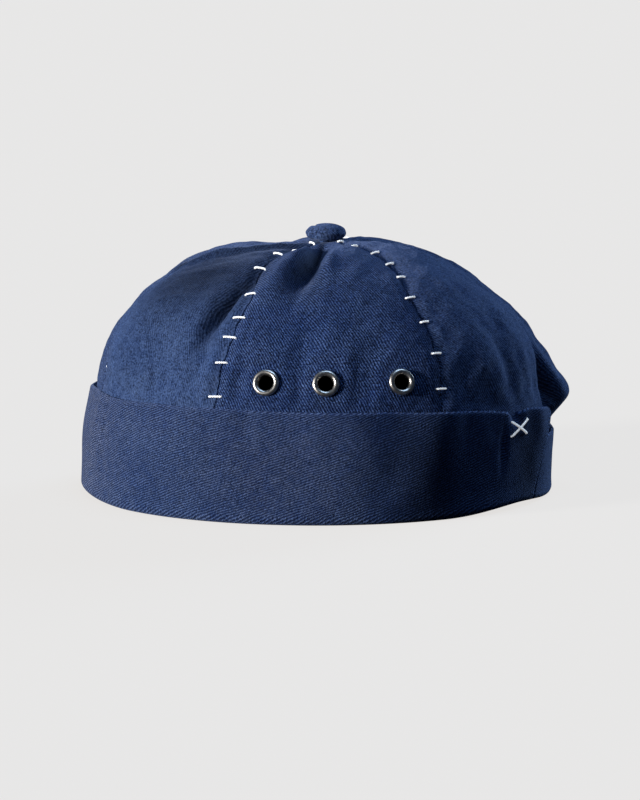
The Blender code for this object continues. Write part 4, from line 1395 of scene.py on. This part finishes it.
def covered_button(points):
    """The gathers, the wrapped turns, the tuck and the tilt of the button's cover, and its wear."""
    x, y, z = np.moveaxis(points, -1, 0)
    turn, out = np.arctan2(y, x), np.hypot(x, y) / (BUTTON_DIAMETER / 2)
    level = (z - BUTTON_BASE) / BUTTON_HEIGHT
    covered = (z > BUTTON_BASE - TINY) * smooth_step(0.15, 0.6, out)
    gathers = BUTTON_GATHERS * np.cos(BUTTON_GATHER_COUNT * turn + 1.3 * np.sin(3.0 * turn))
    gathers = gathers * smooth_step(0.75, 1.0, out)
    wrap = BUTTON_WRAP * np.cos(2.0 * np.pi * (level * BUTTON_WRAP_TURNS + 0.30 * np.sin(turn + 0.6)))
    crease = x + BUTTON_TUCK_OFFSET + BUTTON_TUCK_BEND * y**2
    tuck = BUTTON_TUCK * bell(crease, BUTTON_TUCK_WIDTH) * (y < BUTTON_TUCK_END)
    tilt = covered * BUTTON_TILT * np.sin(2.0 * turn + 0.4) * out
    way = unit(np.stack([x, y, (z - BUTTON_BASE - BUTTON_EDGE) * 1.4], -1) + 1e-9)
    wear = BUTTON_WEAR * smooth_step(0.55, 0.95, out) * (level > 0.3)
    return points + way * (covered * (gathers + wrap - tuck))[..., None] + UP * tilt[..., None], wear.ravel()


class CAP_OT_crown(bpy.types.Operator):
    """Make the crown's six sewn panels"""

    bl_idname = "cap.crown"
    bl_label = "Crown panels"

    def execute(self, context):
        cloth = context.scene.cap_cloth
        panels = {gore.name: build_panel(index, cloth) for index, gore in enumerate(GORES)}
        drill_eyelets(panels)
        return {"FINISHED"}


class CAP_OT_cuff(bpy.types.Operator):
    """Make the cuff turned up round the rim, and the band between its ends"""

    bl_idname = "cap.cuff"
    bl_label = "Cuff and nape band"

    def execute(self, context):
        cloth = context.scene.cap_cloth
        margin = math.degrees(CLEARANCE / CROWN_HALF_WIDTH) * BAND_MARGIN
        build_strip("cuff", Strip(
            first=lambda height: -180.0 - end_azimuth(height),
            last=end_azimuth,
            columns=CUFF_COLUMNS,
            top=cuff_edge,
            wall=CUFF_WALL,
            slack=CUFF_SLACK,
            seed=7.0,
        ), cloth)
        build_strip("nape_band", Strip(
            first=lambda height: end_azimuth(height) + margin,
            last=lambda height: 180.0 - end_azimuth(height) - margin,
            columns=BAND_COLUMNS,
            top=lambda azimuth, share: BAND_HEIGHT,
            wall=BAND_WALL,
            slack=0.0,
            seed=8.0,
        ), cloth)
        return {"FINISHED"}


class CAP_OT_button(bpy.types.Operator):
    """Make the cloth-covered button on the crown"""

    bl_idname = "cap.button"
    bl_label = "Top button"

    def execute(self, context):
        rings = button_profile()
        points, faces = lathe(rings, BUTTON_SIDES, False)
        points, wear = covered_button(points)
        last = (len(rings) - 1) * BUTTON_SIDES
        faces += [tuple(range(BUTTON_SIDES)), tuple(range(last + BUTTON_SIDES - 1, last - 1, -1))]
        flat = points.reshape(-1, 3)
        flat[:, 0] += RIM_CENTRE_X + APEX_SHIFT
        weave = np.stack([flat[:, 0], flat[:, 1] + 0.6 * flat[:, 2], 0.0 * flat[:, 0]], 1)
        mesh = mesh_of("top_button_cloth", flat, faces, weave=weave, wear=wear)
        material = twill_material("button_cloth", context.scene.cap_cloth, BUTTON_SLOPE, BUTTON_NAP)
        made = link("top_button_cloth", mesh, material)
        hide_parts("top_button")
        return {"FINISHED"}


class CAP_OT_eyelets(bpy.types.Operator):
    """Make the metal eyelets of both side panels"""

    bl_idname = "cap.eyelets"
    bl_label = "Eyelets"

    def execute(self, context):
        metal = context.scene.cap_metal
        points, faces = lathe(eyelet_profile(), metal.sides, True)
        for name, _, centre, outward in eyelet_places():
            mesh = mesh_of(name + "_metal", points.reshape(-1, 3), faces)
            turn = outward.to_track_quat("Z", "Y").to_matrix().to_4x4()
            turn.translation = centre
            mesh.transform(turn)
            made = link(name + "_metal", mesh, nickel_material(metal))
            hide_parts(name)
        return {"FINISHED"}


class CAP_OT_stitches(bpy.types.Operator):
    """Sew the white hand stitches over the seams, and the cross by the cuff's end"""

    bl_idname = "cap.stitches"
    bl_label = "Hand stitches"

    def execute(self, context):
        thread = context.scene.cap_thread
        for number, stitching in enumerate(STITCHING):
            seam_stitches(stitching, number, thread)
        lines = []
        for (width, rise), arch in zip(CROSS_ARMS, CROSS_ARCHES):
            ends = []
            for side in (-0.5, 0.5):
                height = np.array(CROSS_HEIGHT + side * rise)
                azimuth = np.array(CROSS_AZIMUTH + math.degrees(side * width / MEAN_RADIUS))
                point, outward = wall_at(azimuth, height)
                top = cuff_top(azimuth)
                slack = CUFF_SLACK * smooth_step(0.0, 1.0, height / top)
                stand = slack + float(cuff_swell(azimuth, height, top))
                ends.append(point + outward * (CLEARANCE + CUFF_WALL + stand))
            lines.append(cloth_thread(*ends, outward, thread.size, arch))
        join_tubes("stitches_cross", lines, CROSS_THREAD * thread.size, thread_material(thread))
        return {"FINISHED"}


class CAP_OT_studio(bpy.types.Operator):
    """Lay the pale floor and set the light and the camera"""

    bl_idname = "cap.studio"
    bl_label = "Floor, light and camera"

    def execute(self, context):
        studio = context.scene.cap_studio
        half = studio.floor_size / 2
        corners = [(-half, -half, 0), (half, -half, 0), (half, half, 0), (-half, half, 0)]
        mesh = bpy.data.meshes.new("floor")
        mesh.from_pydata(corners, [], [(0, 1, 2, 3)])
        floor = added("floor", mesh)
        material, tree, shader = new_material("pale_floor")
        seen = node(tree, "ShaderNodeLightPath").outputs["Is Camera Ray"]
        feed(tree, shader, {
            "Base Color": mix(tree, seen, studio.bounce_colour, studio.floor_colour),
            "Emission Color": mix(tree, seen, (0.0, 0.0, 0.0), studio.floor_glow),
            "Emission Strength": 1.0,
            "Roughness": 1.0,
            "Specular IOR Level": 0.0,
        })
        mesh.materials.append(material)
        for lamp in LAMPS:
            light = bpy.data.lights.new(lamp.name, "SUN")
            light.energy, light.angle, light.color = lamp.strength, math.radians(lamp.softness), lamp.colour
            turn = (math.radians(90.0 - lamp.height), 0.0, math.radians(lamp.azimuth))
            added(lamp.name, light).rotation_euler = turn
        world = bpy.data.worlds.new("sky")
        context.scene.world = world
        world.use_nodes = True
        sky = world.node_tree.nodes["Background"].inputs
        sky["Color"].default_value = (*SKY_COLOUR, 1.0)
        sky["Strength"].default_value = studio.sky
        view = bpy.data.cameras.new("camera")
        view.lens = CAMERA_LENS
        camera = added("camera", view)
        camera.location = (CAMERA_X, -CAMERA_DISTANCE, CAMERA_HEIGHT)
        camera.rotation_euler = (math.radians(90.0 - CAMERA_PITCH), 0.0, 0.0)
        context.scene.camera = camera
        context.scene.view_settings.view_transform = "Standard"
        return {"FINISHED"}


class CAP_PT_panel(bpy.types.Panel):
    """The steps that dress the cap"""

    bl_idname = "CAP_PT_panel"
    bl_label = "Sailor cap"
    bl_space_type = "VIEW_3D"
    bl_region_type = "UI"
    bl_category = "Cap"

    def draw(self, context):
        for operator in OPERATORS:
            self.layout.operator(operator.bl_idname)
        for group_name in SETTINGS:
            settings = getattr(context.scene, group_name)
            for key in settings.__annotations__:
                self.layout.prop(settings, key)


OPERATORS = (CAP_OT_crown, CAP_OT_cuff, CAP_OT_button, CAP_OT_eyelets, CAP_OT_stitches, CAP_OT_studio)
SETTINGS = {"cap_cloth": CapCloth, "cap_metal": CapMetal, "cap_thread": CapThread, "cap_studio": CapStudio}


def register():
    for made in (*SETTINGS.values(), *OPERATORS, CAP_PT_panel):
        bpy.utils.register_class(made)
    for key, settings in SETTINGS.items():
        setattr(bpy.types.Scene, key, PointerProperty(type=settings))


def unregister():
    for key in SETTINGS:
        delattr(bpy.types.Scene, key)
    for made in (CAP_PT_panel, *reversed(OPERATORS), *reversed(list(SETTINGS.values()))):
        bpy.utils.unregister_class(made)


def main():
    """Dress the cap."""
    register()
    bpy.ops.cap.crown()
    bpy.ops.cap.cuff()
    bpy.ops.cap.button()
    bpy.ops.cap.eyelets()
    bpy.ops.cap.stitches()
    bpy.ops.cap.studio()


if __name__ == "__main__":
    main()
